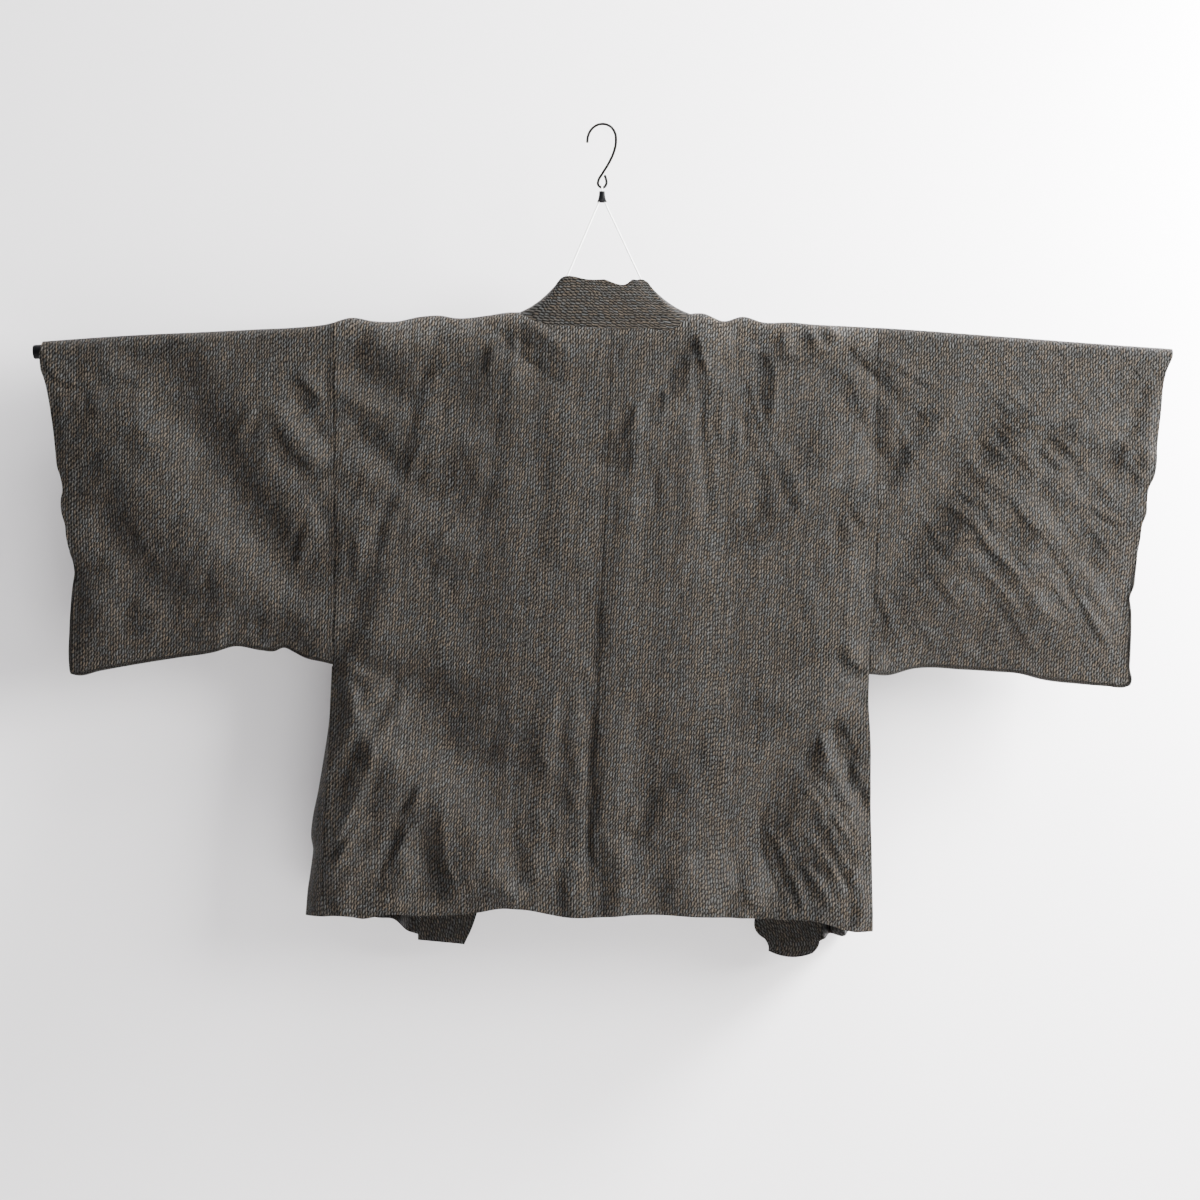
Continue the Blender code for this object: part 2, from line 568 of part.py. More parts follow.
def gusset(name, half, finish, rows=11, columns=4):
    """A narrow wedge of cloth, folded along its middle, between the side seams of back and front."""
    heights = np.linspace(half.gusset_top, half.gusset_hem, rows + 1)
    shares = np.linspace(0, 1, columns + 1)
    points = []
    for z in heights:
        seam_x = float(along(half.side_seam, z))
        below = bar_height(seam_x) - z
        depth = CLOTH_RADIUS + float(side_depth(below))
        back_y = -(depth - float(fold_depth(BACK_FOLDS, np.array(seam_x), z)))
        front_y = depth - float(fold_depth(FRONT_FOLDS, np.array(seam_x), z))
        fold_x = float(along(half.gusset_fold, z))
        pull = np.array([2 * fold_x - seam_x, (back_y + front_y) / 2])
        back = np.array([seam_x, back_y])
        front = np.array([seam_x, front_y])
        leg = np.linalg.norm(pull - back)
        turn = math.acos(min(abs(pull[0] - back[0]) / leg, 1))
        clear = GUSSET_SEAM + CLOTH * math.tan(turn / 2)
        start = clear / (2 * leg)
        for share in start + (1 - 2 * start) * shares:
            x, y = back * (1 - share) ** 2 + pull * 2 * share * (1 - share) + front * share**2
            points.append((x, y, z))
    faces = grid_faces(np.arange(len(points)).reshape(len(heights), -1))
    return cloth_piece(name, points, faces, CLOTH, finish)


def smooth_route(points, steps):
    """Points along a smooth curve through a route's own points."""
    points = np.array(points, float)
    lengths = np.r_[0, np.cumsum(np.linalg.norm(np.diff(points, axis=0), axis=1))]
    at = np.linspace(0, lengths[-1], steps)
    return np.stack([along(np.c_[lengths, column], at) for column in points.T], axis=1)


def rod(name, route, radius, finish, sides=2):
    """A round rod or cord along a route."""
    curve = bpy.data.curves.new(name, "CURVE")
    curve.dimensions = "3D"
    curve.bevel_depth = radius * MM
    curve.bevel_resolution = sides
    curve.use_fill_caps = True
    spline = curve.splines.new("POLY")
    spline.points.add(len(route) - 1)
    for point, (x, y, z) in zip(spline.points, route):
        point.co = (x * MM, y * MM, z * MM, 1.0)
    return place(name, curve, finish)


def turned(name, profile, finish, sides=16):
    """A closed profile of radius and height, turned about its own Z axis."""
    mesh = bpy.data.meshes.new(name)
    shape = bmesh.new()
    ring = [shape.verts.new((radius * MM, 0, height * MM)) for radius, height in profile]
    edges = [shape.edges.new((a, b)) for a, b in zip(ring, ring[1:])]
    bmesh.ops.spin(
        shape,
        geom=ring + edges,
        axis=(0, 0, 1),
        cent=(0, 0, 0),
        angle=2 * math.pi,
        steps=sides,
        use_merge=True,
    )
    bmesh.ops.remove_doubles(shape, verts=shape.verts, dist=1e-6)
    bmesh.ops.recalc_face_normals(shape, faces=shape.faces)
    shape.to_mesh(mesh)
    shape.free()
    mesh.shade_smooth()
    mesh.set_sharp_from_angle(angle=math.radians(40))
    return place(name, mesh, finish)


def bar_route():
    """The bar's middle line."""
    xs = np.linspace(BAR_LEFT_END, BAR_RIGHT_END, 21)
    return [(x, 0.0, float(bar_height(x))) for x in xs]


def bar_cap(name, end, sign, finish):
    """A rounded cap on the bar's end, its axis in line with the bar."""
    profile = [
        (0, TOUCH),
        (CAP_RADIUS - 0.5, TOUCH),
        (CAP_RADIUS, TOUCH + 0.5),
        (CAP_RADIUS, CAP_LENGTH - CAP_EDGE),
        (CAP_RADIUS - 0.6, CAP_LENGTH - 0.6),
        (CAP_RADIUS - CAP_EDGE, CAP_LENGTH),
        (0, CAP_LENGTH),
    ]
    cap = turned(name, profile, finish)
    slope = float(bar_height(end + 1.0) - bar_height(end - 1.0)) / 2
    cap.location = (end * MM, 0, float(bar_height(end)) * MM)
    cap.rotation_euler = (0, math.radians(90 * sign) - math.atan(slope), 0)
    return cap


def tie(tie_x, sign):
    """The cord's turn round the bar, from its loose end to where it leaves for the hook."""
    knot = BAR_RADIUS + TOUCH + CORD_RADIUS
    height = float(bar_height(tie_x))
    turn = []
    for share in np.linspace(0, 1, TIE_STEPS):
        angle = math.radians(TIE_TURN[0] + (TIE_TURN[1] - TIE_TURN[0]) * share)
        x = tie_x + sign * TIE_PITCH * (1 - share)
        turn.append((x, sign * knot * math.cos(angle), height + knot * math.sin(angle)))
    turn.append((tie_x - sign * 1.6, sign * 0.4, height + knot + 3.0))
    return turn


def cord_route():
    """One cord: tied round the bar, up through the ferrule, over the hook's eye and down again."""
    loop = WIRE_RADIUS + TOUCH + CORD_RADIUS
    beside = CORD_RADIUS + STRAND_GAP
    strand = [
        (6.0, 0.0, FERRULE_BOTTOM - 6.0),
        (3.1, 0.0, FERRULE_BOTTOM + 0.8),
        (1.5, 0.0, FERRULE_TURN - 1.2),
    ]
    # Inside the ferrule the strands turn from side by side to one behind the other.
    for share in np.linspace(0, 1, 5):
        angle = share * math.pi / 2
        height = FERRULE_TURN + (FERRULE_TOP - FERRULE_TURN) * share
        strand.append((beside * math.cos(angle), beside * math.sin(angle), height))
    for angle in np.radians(np.linspace(-35, 90, 6)):
        strand.append((0.0, loop * math.cos(angle), EYE_HEIGHT + loop * math.sin(angle)))
    other = [(-x, -y, z) for x, y, z in strand[:-1]]
    left, right = CORD_ON_BAR
    return tie(left, -1) + other + strand[::-1] + tie(right, 1)[::-1]


def ferrule(finish):
    """A flared collar that holds the two strands together under the eye."""
    height = FERRULE_TOP - FERRULE_BOTTOM
    profile = [
        (2.15, height), (3.1, height), (3.4, height - 2.0), (5.0, 1.6), (5.5, 0.6), (5.3, 0.0),
        (4.6, 0.0), (2.7, 6.0), (2.15, 8.0), (2.15, height),
    ]
    piece = turned("cord_ferrule", profile, finish)
    piece.location = (0, 0, FERRULE_BOTTOM * MM)
    return piece


def main():
    for old in list(bpy.data.objects):
        bpy.data.objects.remove(old, do_unlink=True)
    wool = material("haori_cloth", (0.085, 0.075, 0.066), 0.9)
    collar_wool = material("collar_cloth", (0.10, 0.09, 0.082), 0.9)
    black = material("black_plastic", (0.02, 0.02, 0.022), 0.4)
    steel = material("dark_wire", (0.10, 0.10, 0.11), 0.35, 0.9)
    cord = material("white_cord", (0.80, 0.79, 0.76), 0.8)
    tube = material("bar_plastic", (0.05, 0.05, 0.055), 0.45)
    body_panel("body_panel_left", LEFT, wool)
    body_panel("body_panel_right", RIGHT, wool)
    sleeve_piece("sleeve_left", SLEEVE_LEFT, wool)
    sleeve_piece("sleeve_right", SLEEVE_RIGHT, wool)
    gusset("gusset_left", LEFT, wool)
    gusset("gusset_right", RIGHT, wool)
    collar_band("collar_band", collar_wool)
    rod("hanger_bar", bar_route(), BAR_RADIUS, tube)
    bar_cap("bar_cap_left", BAR_LEFT_END, -1, black)
    bar_cap("bar_cap_right", BAR_RIGHT_END, 1, black)
    hook = [(x, 0.0, z) for x, z in smooth_route(HOOK_ROUTE, 40)]
    rod("hanger_hook", hook, WIRE_RADIUS, steel)
    rod("hanger_cord", cord_route(), CORD_RADIUS, cord)
    ferrule(black)


main()
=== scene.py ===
# %% [markdown]
# # A haori jacket on its hanger
# This is a short woollen haori, hung by its sleeves on a long kimono hanger and seen from behind.
# The solids already give each piece its place. Here every piece of cloth is made again as a thin
# sheet with many more points, so that its creases can be set in it, and then it gets its weave.
# The pieces meet at their seams because they all read the same few tables of edges.

import math
from collections import namedtuple

import bpy
import numpy as np
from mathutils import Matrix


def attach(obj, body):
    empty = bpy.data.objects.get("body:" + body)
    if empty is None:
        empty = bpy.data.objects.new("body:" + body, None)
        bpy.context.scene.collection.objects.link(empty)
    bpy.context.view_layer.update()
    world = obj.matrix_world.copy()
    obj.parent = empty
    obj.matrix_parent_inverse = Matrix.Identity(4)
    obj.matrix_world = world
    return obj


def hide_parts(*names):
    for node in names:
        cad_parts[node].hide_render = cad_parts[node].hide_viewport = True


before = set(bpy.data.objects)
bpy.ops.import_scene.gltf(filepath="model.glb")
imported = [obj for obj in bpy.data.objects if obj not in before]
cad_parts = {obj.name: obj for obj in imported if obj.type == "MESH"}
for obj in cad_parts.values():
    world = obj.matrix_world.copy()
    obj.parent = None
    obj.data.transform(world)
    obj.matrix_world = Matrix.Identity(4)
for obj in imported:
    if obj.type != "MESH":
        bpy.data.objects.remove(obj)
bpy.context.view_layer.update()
MM = 0.001

# %% [markdown]
# ## The camera
# The jacket hangs flat against a wall and is looked at squarely, from far enough away that its
# sides aren't foreshortened. A long lens at three and a half metres does that. It is held level
# at the middle of the whole, hook and wall included, so upright lines stay upright.

# %% Camera
CAMERA_PLACE = (-0.00224, -3.506, -0.5325)
lens = bpy.data.cameras.new("camera")
lens.sensor_width = 36.0
lens.lens = 93.75
camera = bpy.data.objects.new("camera", lens)
camera.location = CAMERA_PLACE
camera.rotation_euler = (math.radians(90), 0, 0)
bpy.context.scene.collection.objects.link(camera)
bpy.context.scene.camera = camera
print("camera", CAMERA_PLACE, "lens", lens.lens)

# %% [markdown]
# ## The room
# A pale wall stands close behind the jacket and catches its soft shadow, and a pale floor lies
# well below. Seen from the back the wall would hide the jacket, so its material lets through
# whatever reaches it from behind: the backface output of Geometry drives a mix with a
# transparent shader. Both are flat meshes made from four corners. Every material in this file
# starts from the same helper, which sets a Principled shader from a small table.


# %% Wall and floor
def new_finish(name, settings):
    """A material, its node tree and its shader, with some of the shader's inputs set."""
    finish = bpy.data.materials.new(name)
    finish.use_nodes = True
    tree = finish.node_tree
    shader = tree.nodes["Principled BSDF"]
    for setting, value in settings.items():
        shader.inputs[setting].default_value = value
    return finish, tree, shader


def flat_piece(name, corners, colour):
    matt = {"Base Color": (*colour, 1.0), "Roughness": 0.95, "Specular IOR Level": 0.1}
    finish, tree, shader = new_finish(name, matt)
    mesh = bpy.data.meshes.new(name)
    mesh.from_pydata(corners, [], [(0, 1, 2, 3)])
    mesh.materials.append(finish)
    piece = bpy.data.objects.new(name, mesh)
    bpy.context.scene.collection.objects.link(piece)
    return piece, tree, shader


WALL_BEHIND, WALL_REACH, WALL_LOW, WALL_HIGH = 0.089, 4, -3, 2
FLOOR_BELOW, FLOOR_REACH = -1.65, 8
wall, wall_tree, wall_shader = flat_piece(
    "wall",
    [
        (-WALL_REACH, WALL_BEHIND, WALL_LOW), (WALL_REACH, WALL_BEHIND, WALL_LOW),
        (WALL_REACH, WALL_BEHIND, WALL_HIGH), (-WALL_REACH, WALL_BEHIND, WALL_HIGH),
    ],
    (0.90, 0.885, 0.905),
)
clear = wall_tree.nodes.new("ShaderNodeBsdfTransparent")
behind = wall_tree.nodes.new("ShaderNodeNewGeometry")
mix = wall_tree.nodes.new("ShaderNodeMixShader")
wall_tree.links.new(behind.outputs["Backfacing"], mix.inputs["Fac"])
wall_tree.links.new(wall_shader.outputs["BSDF"], mix.inputs[1])
wall_tree.links.new(clear.outputs["BSDF"], mix.inputs[2])
wall_tree.links.new(mix.outputs["Shader"], wall_tree.nodes["Material Output"].inputs["Surface"])
corner_signs = ((-1, -1), (1, -1), (1, 1), (-1, 1))
floor, _, _ = flat_piece(
    "floor",
    [(FLOOR_REACH * x, FLOOR_REACH * y, FLOOR_BELOW) for x, y in corner_signs],
    (0.56, 0.55, 0.54),
)
print("wall", WALL_BEHIND, "m behind the hook, floor", -FLOOR_BELOW, "m below it")

# %% [markdown]
# ## The light
# One large soft light stands close by on the right, a little above the middle. It rakes across
# the cloth, so each crease has a lit side and a dark side. A weak light overhead and a pale
# world, brighter above than below as a room with a white ceiling is, keep the dark sides open
# and light the shoulders. Dark cloth needs more light than a white wall does, so the wall gets
# two lights of its own: a wash that falls off from right to left, and a weak fill from below.
# Light linking keeps both off the cloth: they only light what is in one small collection, which
# the thin white cord joins later, because it is as bright as the wall behind it.


# %% Lights
def soft_light(name, place, aim, size, power, tint=(1.0, 1.0, 1.0)):
    lamp = bpy.data.lights.new(name, "AREA")
    lamp.shape = "SQUARE"
    lamp.size = size
    lamp.energy = power
    lamp.color = tint
    light = bpy.data.objects.new(name, lamp)
    light.location = place
    reach = [a - b for a, b in zip(aim, place)]
    turn = math.atan2(reach[1], reach[0])
    tip = math.atan2(math.hypot(reach[0], reach[1]), -reach[2])
    light.rotation_euler = (tip, 0, turn - math.pi / 2)
    bpy.context.scene.collection.objects.link(light)
    print(name, power, "W")
    return light


key = soft_light("key", (1.9, -1.2, 0.10), (0.1, 0, -0.5), 1.2, 180, (1.0, 0.99, 0.97))
overhead = soft_light("overhead", (0.1, -0.8, 1.9), (0.0, 0, -0.3), 1.4, 80)
wall_wash = soft_light("wall wash", (1.35, -0.3, 0.1), (0.2, 0.09, -0.4), 0.5, 175)
wall_fill = soft_light("wall fill", (0.1, -1.3, -1.25), (-0.1, 0.09, -0.7), 0.8, 7)
only_wall = bpy.data.collections.new("lit by the wall wash")
only_wall.objects.link(wall)
only_wall.objects.link(floor)
wall_wash.light_linking.receiver_collection = only_wall
wall_fill.light_linking.receiver_collection = only_wall

# %% World
world = bpy.data.worlds.new("studio")
world.use_nodes = True
sky = world.node_tree
way = sky.nodes.new("ShaderNodeTexCoord")
way_parts = sky.nodes.new("ShaderNodeSeparateXYZ")
brighter_up = sky.nodes.new("ShaderNodeMapRange")
brighter_up.inputs["From Min"].default_value = -1.0
brighter_up.inputs["To Min"].default_value = 0.05
brighter_up.inputs["To Max"].default_value = 0.56
sky.links.new(way.outputs["Generated"], way_parts.inputs["Vector"])
sky.links.new(way_parts.outputs["Z"], brighter_up.inputs["Value"])
sky.links.new(brighter_up.outputs["Result"], sky.nodes["Background"].inputs["Strength"])
sky.nodes["Background"].inputs["Color"].default_value = (0.95, 0.95, 1.0, 1.0)
bpy.context.scene.world = world
print("world", world.name)

# %% [markdown]
# ## Reading a table as a curve
# Every edge of this jacket is a short table of measured places. One helper gives an even step,
# and the other reads a two-column table as a smooth curve through its rows. The seams, the hem
# and the shoulder line all go through them, so the pieces agree wherever they meet.


# %% Smooth steps and curves
def smooth(share):
    """An even step from 0 to 1."""
    share = np.clip(share, 0.0, 1.0)
    return share * share * (3.0 - 2.0 * share)


def along(table, at):
    """Reads a table of two columns as a smooth curve."""
    rows = np.array(table, float)
    places, values = rows[np.argsort(rows[:, 0])].T
    slopes = np.gradient(values, places)
    at = np.clip(at, places[0], places[-1])
    first = np.clip(np.searchsorted(places, at) - 1, 0, len(places) - 2)
    span = places[first + 1] - places[first]
    t = (at - places[first]) / span
    start = values[first] * (1 + 2 * t) * (1 - t) ** 2 + slopes[first] * span * t * (1 - t) ** 2
    end = values[first + 1] * t * t * (3 - 2 * t) - slopes[first + 1] * span * t * t * (1 - t)
    return start + end


# %% [markdown]
# ## The bar and the shoulder line
# The cloth rests on a tube 14 mm across that falls a little towards both ends. The shoulders
# pucker where they are caught on it, so the cloth stands off the tube by the lifts in a table.
# All sizes from here on are in millimetres, and become metres when a mesh is made.

# %% Bar and shoulder sizes
BAR_RADIUS = 7.0
BAR_HEIGHT = -223.2
BAR_SLOPE = 0.04
BAR_ROUND = 30.0
BAR_CURVE = 2.7e-5
BAR_TILT = 0.0066
BAR_ENDS = (-627.5, 626.0)
TOUCH = 0.45
CLOTH = 1.5
CLOTH_RADIUS = BAR_RADIUS + TOUCH + CLOTH / 2
SHOULDER_LIFT = (
    (-640, 2.2), (-530, 2.8), (-440, 1.6), (-385, 1.3), (-345, 1.1), (-308, 3.1), (-281, 9.0),
    (-256, 3.9), (-232, 2.3), (-203, 6.6), (-181, 6.8), (-165, 3.4), (-129, 4.7), (-105, 7.3),
    (-91, 7.1), (97, 6.6), (112, 8.2), (137, 0.6), (158, 6.7), (180, 1.8), (213, 3.4), (237, 2.5),
    (267, 2.8), (342, 3.3), (430, 2.7), (580, 2.6), (640, 3.2),
)
NECK_DROP = (
    (-90.7, 0.0), (-77.8, 9.8), (-65, 14.0), (-30, 16.8), (9, 17.8), (50, 15.9),
    (86, 13.1), (91.5, 7.0), (97.4, 0.0),
)


def bar_height(x):
    """Height of the bar's middle line."""
    arm = np.sqrt(x * x + BAR_ROUND**2) - BAR_ROUND
    return BAR_HEIGHT - BAR_SLOPE * arm - BAR_CURVE * x * x - BAR_TILT * x


print("the bar's ends lie at", *(round(float(bar_height(end)), 1) for end in BAR_ENDS))

# %% [markdown]
# ## How cloth goes over the bar
# Cloth that leaves the shoulder line first goes a quarter turn round the tube and then hangs
# straight down. Working with the length of cloth that has run past the shoulder, and not with a
# height, keeps the weave from stretching where it turns over.

# %% Over the bar
NECK_ROOM = 4.0
NECK_ROOM_FULL, NECK_ROOM_ENDS = 98.0, 150.0
CAP_ROOM = 1.8
CAP_ROOM_STARTS, CAP_ROOM_FULL = 585.0, 612.0


def room(x):
    """How much further the cloth stands off the bar at the neck and round the bar's caps."""
    neck = smooth((NECK_ROOM_ENDS - np.abs(x)) / (NECK_ROOM_ENDS - NECK_ROOM_FULL))
    cap = smooth((np.abs(x) - CAP_ROOM_STARTS) / (CAP_ROOM_FULL - CAP_ROOM_STARTS))
    return NECK_ROOM * neck + CAP_ROOM * cap


def quarter_turn(x):
    """Length of cloth from the shoulder line to the bar's side."""
    radius = CLOTH_RADIUS + (room(x) + along(SHOULDER_LIFT, x)) / 2
    return radius * math.pi / 2


def over_bar(x, run):
    """Reach from the hanger's plane, height, and drop below the turn, for a run of cloth."""
    turn = quarter_turn(x)
    angle = np.clip(run / turn, 0, 1) * math.pi / 2
    reach = (CLOTH_RADIUS + room(x)) * np.sin(angle)
    height = bar_height(x) + (CLOTH_RADIUS + along(SHOULDER_LIFT, x)) * np.cos(angle)
    below = np.maximum(run - turn, 0)
    return reach, height - below, below


def neck_start(x):
    """Run of cloth at which the neck hole's edge lies."""
    drop = along(NECK_DROP, x)
    rise = CLOTH_RADIUS + along(SHOULDER_LIFT, x)
    on_turn = np.arccos(np.clip(1 - drop / rise, 0, 1)) / (math.pi / 2) * quarter_turn(x)
    return np.where(drop < rise, on_turn, quarter_turn(x) + drop - rise)


print("cloth takes", round(float(quarter_turn(0.0)), 1), "mm to turn over the bar at the neck")

# %% [markdown]
# ## Seams and edges
# A haori is cut from straight widths of cloth. Each body panel runs from the front hem over the
# shoulder to the back hem in one piece, and the two meet at the centre back. These tables give
# where the seams and the free edges lie. Upright ones are rows of a height and a place across,
# and level ones are rows of a place across and a height.

# %% Seams and edges of the body
SEAM, EDGE_SEAM, NECK_SEAM = 0.12, 0.03, 0.3
CENTRE_BACK = (
    (-207.7, 11.2), (-352.7, 7.0), (-532.7, -1.1), (-644.7, -5.6), (-789.7, -12.3),
    (-887.7, -10.1),
)
BACK_HEM = (
    (-330, -885.3), (-313, -885.4), (-292, -884.5), (-277, -886), (-266, -887.6), (-256, -886),
    (-246, -883.6), (-200, -884), (-142, -880.6), (-112, -875.7), (-86, -876.7), (-41, -884.7),
    (9, -884.2), (28, -882.7), (123, -885.3), (172, -887.2), (244, -890.7), (278, -900.7),
    (305, -900.9),
)
Half = namedtuple(
    "Half",
    "neck_x side_seam front_edge front_hem gusset_fold gusset_top gusset_hem",
)
LEFT = Half(
    neck_x=-90.7,
    side_seam=(
        (-202.7, -301.3), (-606.7, -301.3), (-702.7, -305), (-850.7, -311.4), (-887.7, -312.5),
    ),
    front_edge=((-207.7, -90.7), (-292.7, -101), (-502.7, -139), (-702.7, -174), (-912.7, -209)),
    front_hem=(
        (-313, -886.7), (-281, -887.7), (-262, -890), (-252, -893.5), (-243, -896.7),
        (-226, -905.6), (-209, -911.2),
    ),
    gusset_fold=(
        (-607.2, -302.6), (-642.7, -304), (-665, -305.2), (-686.7, -308), (-745.7, -317.5),
        (-778.7, -324), (-797.7, -325.5), (-810.7, -323.5), (-824.7, -324.8), (-840.7, -327),
        (-852.7, -329), (-885.7, -332),
    ),
    gusset_top=-606.8,
    gusset_hem=-885.3,
)
RIGHT = Half(
    neck_x=97.4,
    side_seam=(
        (-202.7, 309.1), (-332.7, 308), (-515.7, 305.8), (-612.7, 298), (-702.7, 299.5),
        (-802.7, 299.5), (-902.7, 301),
    ),
    front_edge=((-207.7, 97.4), (-292.7, 114), (-502.7, 157), (-702.7, 199), (-919.7, 247)),
    front_hem=((244, -920.7), (250, -917.5), (263, -915.2), (283, -911), (303, -905)),
    gusset_fold=((-606.7, 294.5), (-902.7, 296)),
    gusset_top=-620.2,
    gusset_hem=-900.7,
)
print("the neck hole is", round(RIGHT.neck_x - LEFT.neck_x, 1), "mm wide")

# %% [markdown]
# ## The sleeves' edges
# A sleeve is one width of cloth folded over the bar and sewn closed along its bottom and up its
# outer edge, as far as the opening for the hand. It hangs crookedly, so both free edges wander.

# %% Edges of the sleeves
Sleeve = namedtuple("Sleeve", "side_seam cuff_edge bottom_edge")
SLEEVE_LEFT = Sleeve(
    side_seam=LEFT.side_seam,
    cuff_edge=(
        (-237.7, -626), (-264.7, -629), (-273.7, -628), (-286.7, -623.5), (-331.7, -615),
        (-367.7, -610.8), (-380.7, -609.5), (-394.7, -605.5), (-407.7, -603), (-421.7, -605),
        (-434.7, -604), (-448.7, -599.8), (-461.7, -598.5), (-475.7, -595.6), (-489.7, -592.5),
        (-502.7, -591.4), (-515.7, -593.3), (-542.7, -595.8), (-565.7, -597), (-602.7, -597.5),
        (-614.7, -596), (-622.7, -592),
    ),
    bottom_edge=(
        (-600, -613.7), (-587, -616.7), (-564, -611.7), (-523, -604.2), (-476, -596.7),
        (-436, -590.7), (-412, -584), (-382, -588.5), (-368, -589.5), (-356.5, -585.5),
        (-346, -590), (-335, -596), (-312.5, -601.6), (-300, -604.5),
    ),
)
SLEEVE_RIGHT = Sleeve(
    side_seam=RIGHT.side_seam,
    cuff_edge=(
        (-242.7, 639), (-259.7, 638.5), (-274.7, 632), (-330.7, 623.5), (-362.7, 619.5),
        (-394.7, 616.5), (-407.7, 610.5), (-422.7, 608.5), (-435.7, 608), (-448.7, 603.2),
        (-461.7, 602), (-475.7, 600), (-502.7, 598), (-516.7, 596.5), (-529.7, 591.8),
        (-542.7, 593.2), (-569.7, 593.4), (-596.7, 592.3), (-609.7, 591.8), (-622.7, 594),
        (-632.7, 590),
    ),
    bottom_edge=(
        (297, -614.7), (320, -616.5), (348, -609.3), (408, -610.3), (442, -612.5), (468, -614.7),
        (493, -621.2), (537, -626.5), (566, -628.8), (587, -629.9), (600, -623.7),
    ),
)
print("cuff tables:", len(SLEEVE_LEFT.cuff_edge), "and", len(SLEEVE_RIGHT.cuff_edge), "places")

# %% [markdown]
# ## Creases
# A crease in limp wool isn't a groove. The cloth dips a little on one side of a line and swells
# on the other, and the steep part between them is what catches or loses the light. Each row of
# the tables below is one such line: where it starts and ends, how far its middle bends to the
# side, its half width, and how far the cloth rises across it from left to right. A rise below
# nought makes a lit line. The swell is wider than the dip, as it is in real cloth.

# %% What one crease does
Crease = namedtuple("Crease", "x z x_end z_end bend width rise")
CREASE_FADE, FADE_AHEAD = 0.3, 0.3
CREASE_DEPTH = 1.12
DIP, SWELL = 0.8, 1.35
NARROW_END = 0.7
CREASE_REACH = 6
WANDER = 1.6


def wander(x, z, seed):
    """A slow sideways drift that keeps a crease from being a perfect curve."""
    return WANDER * (
        np.sin(x / 9.1 + z / 12.7 + seed) * 0.5
        + np.sin(x / 17.3 - z / 14.9 + 2.1 * seed) * 0.8
        + np.sin(x / 31.0 + z / 41.0 + 3.7 * seed)
    )


def relief(creases, x, z):
    """How far the creases push the cloth out at each place."""
    x, z = np.broadcast_arrays(x, z)
    total = np.zeros(x.shape)
    for number, crease in enumerate(map(Crease._make, creases)):
        run_x = crease.x_end - crease.x
        run_z = crease.z_end - crease.z
        length = math.hypot(run_x, run_z)
        share = ((x - crease.x) * run_x + (z - crease.z) * run_z) / length**2
        aside = ((z - crease.z) * run_x - (x - crease.x) * run_z) / length
        beside = np.abs(aside) < CREASE_REACH * crease.width + abs(crease.bend)
        near = (share > -0.1) & (share < 1.1) & beside
        if not near.any():
            continue
        s, a = share[near], aside[near]
        a = a - crease.bend * 4 * s * (1 - s) + wander(x[near], z[near], number)
        ends = smooth(s / CREASE_FADE + FADE_AHEAD) * smooth((1 - s) / CREASE_FADE + FADE_AHEAD)
        side = np.where(a < 0, DIP, SWELL)
        a = a / (crease.width * side * (NARROW_END + (1 - NARROW_END) * ends))
        total[near] += CREASE_DEPTH * crease.rise * side * ends * a * np.exp(-a * a / 2)
    return total


# %% [markdown]
# ## The creases of the back
# The back shows more than two hundred soft creases and a hundred short, sharp ones. They run in
# families: slanting down and outwards across both sleeves from the shoulders, down from the neck
# and the shoulder blades, across under each arm, and in deep drapes down to the hem near both
# sides. Such tables are best filled from the largest crease to the smallest, a family at a time.

# %% Creases of the left sleeve's back
LEFT_SLEEVE_CREASES = (
    # left sleeve
    (-532, -385, -459, -461, 6, 13.5, -1.7), (-415, -453, -364, -503, -2, 10.5, -0.7),
    (-552, -414, -451, -526, -15, 21.1, 9), (-517, -304, -304, -580, -20, 25.8, -8.7),
    (-434, -307, -329, -511, -4, 30.6, 5.9), (-358, -319, -312, -389, 4, 11.8, -8.2),
    (-363, -353, -308, -388, -1, 19.2, 8.2), (-501, -230, -440, -292, -6, 21.4, 4.8),
    (-549, -235, -538, -284, -1, 15, -4.6), (-349, -283, -315, -313, -3, 9.5, 3.3),
    (-302, -257, -306, -311, -2, 4.6, 2), (-328, -441, -349, -491, -2, 5.1, 3.8),
    (-334, -415, -309, -499, 4, 7.3, -2.2), (-410, -365, -393, -398, -1, 9.7, 0.5),
    (-374, -437, -350, -466, 6, 10.9, 3.8), (-568, -536, -522, -578, 1, 24.7, -5.7),
    (-526, -532, -530, -575, 2, 11, 5.1), (-494, -527, -504, -570, 0, 7.7, -0.6),
    (-586, -505, -581, -541, 4, 6.5, 3.7), (-412, -537, -430, -589, -3, 6, -3),
    (-434, -501, -460, -579, 10, 13.2, 5.7), (-378, -547, -388, -574, 3, 6.5, 2.1),
    (-451, -514, -468, -577, -10, 14.3, 4.3), (-632, -249, -582, -298, -9, 3.2, 2),
    (-604, -251, -576, -303, -2, 8.4, 1.5), (-587, -250, -562, -279, -9, 7.4, 1.2),
    (-608, -309, -575, -438, 0, 38.1, 8.2), (-566, -366, -556, -398, -4, 12, 2.8),
    (-572, -298, -568, -331, -1, 5.7, 2.1), (-522, -330, -444, -355, -3, 16.1, -3.5),
    (-458, -430, -482, -462, -3, 7.7, 2.8), (-419, -394, -427, -420, -1, 16.2, -2.2),
    (-381, -315, -407, -355, -1, 5.9, -3),
)

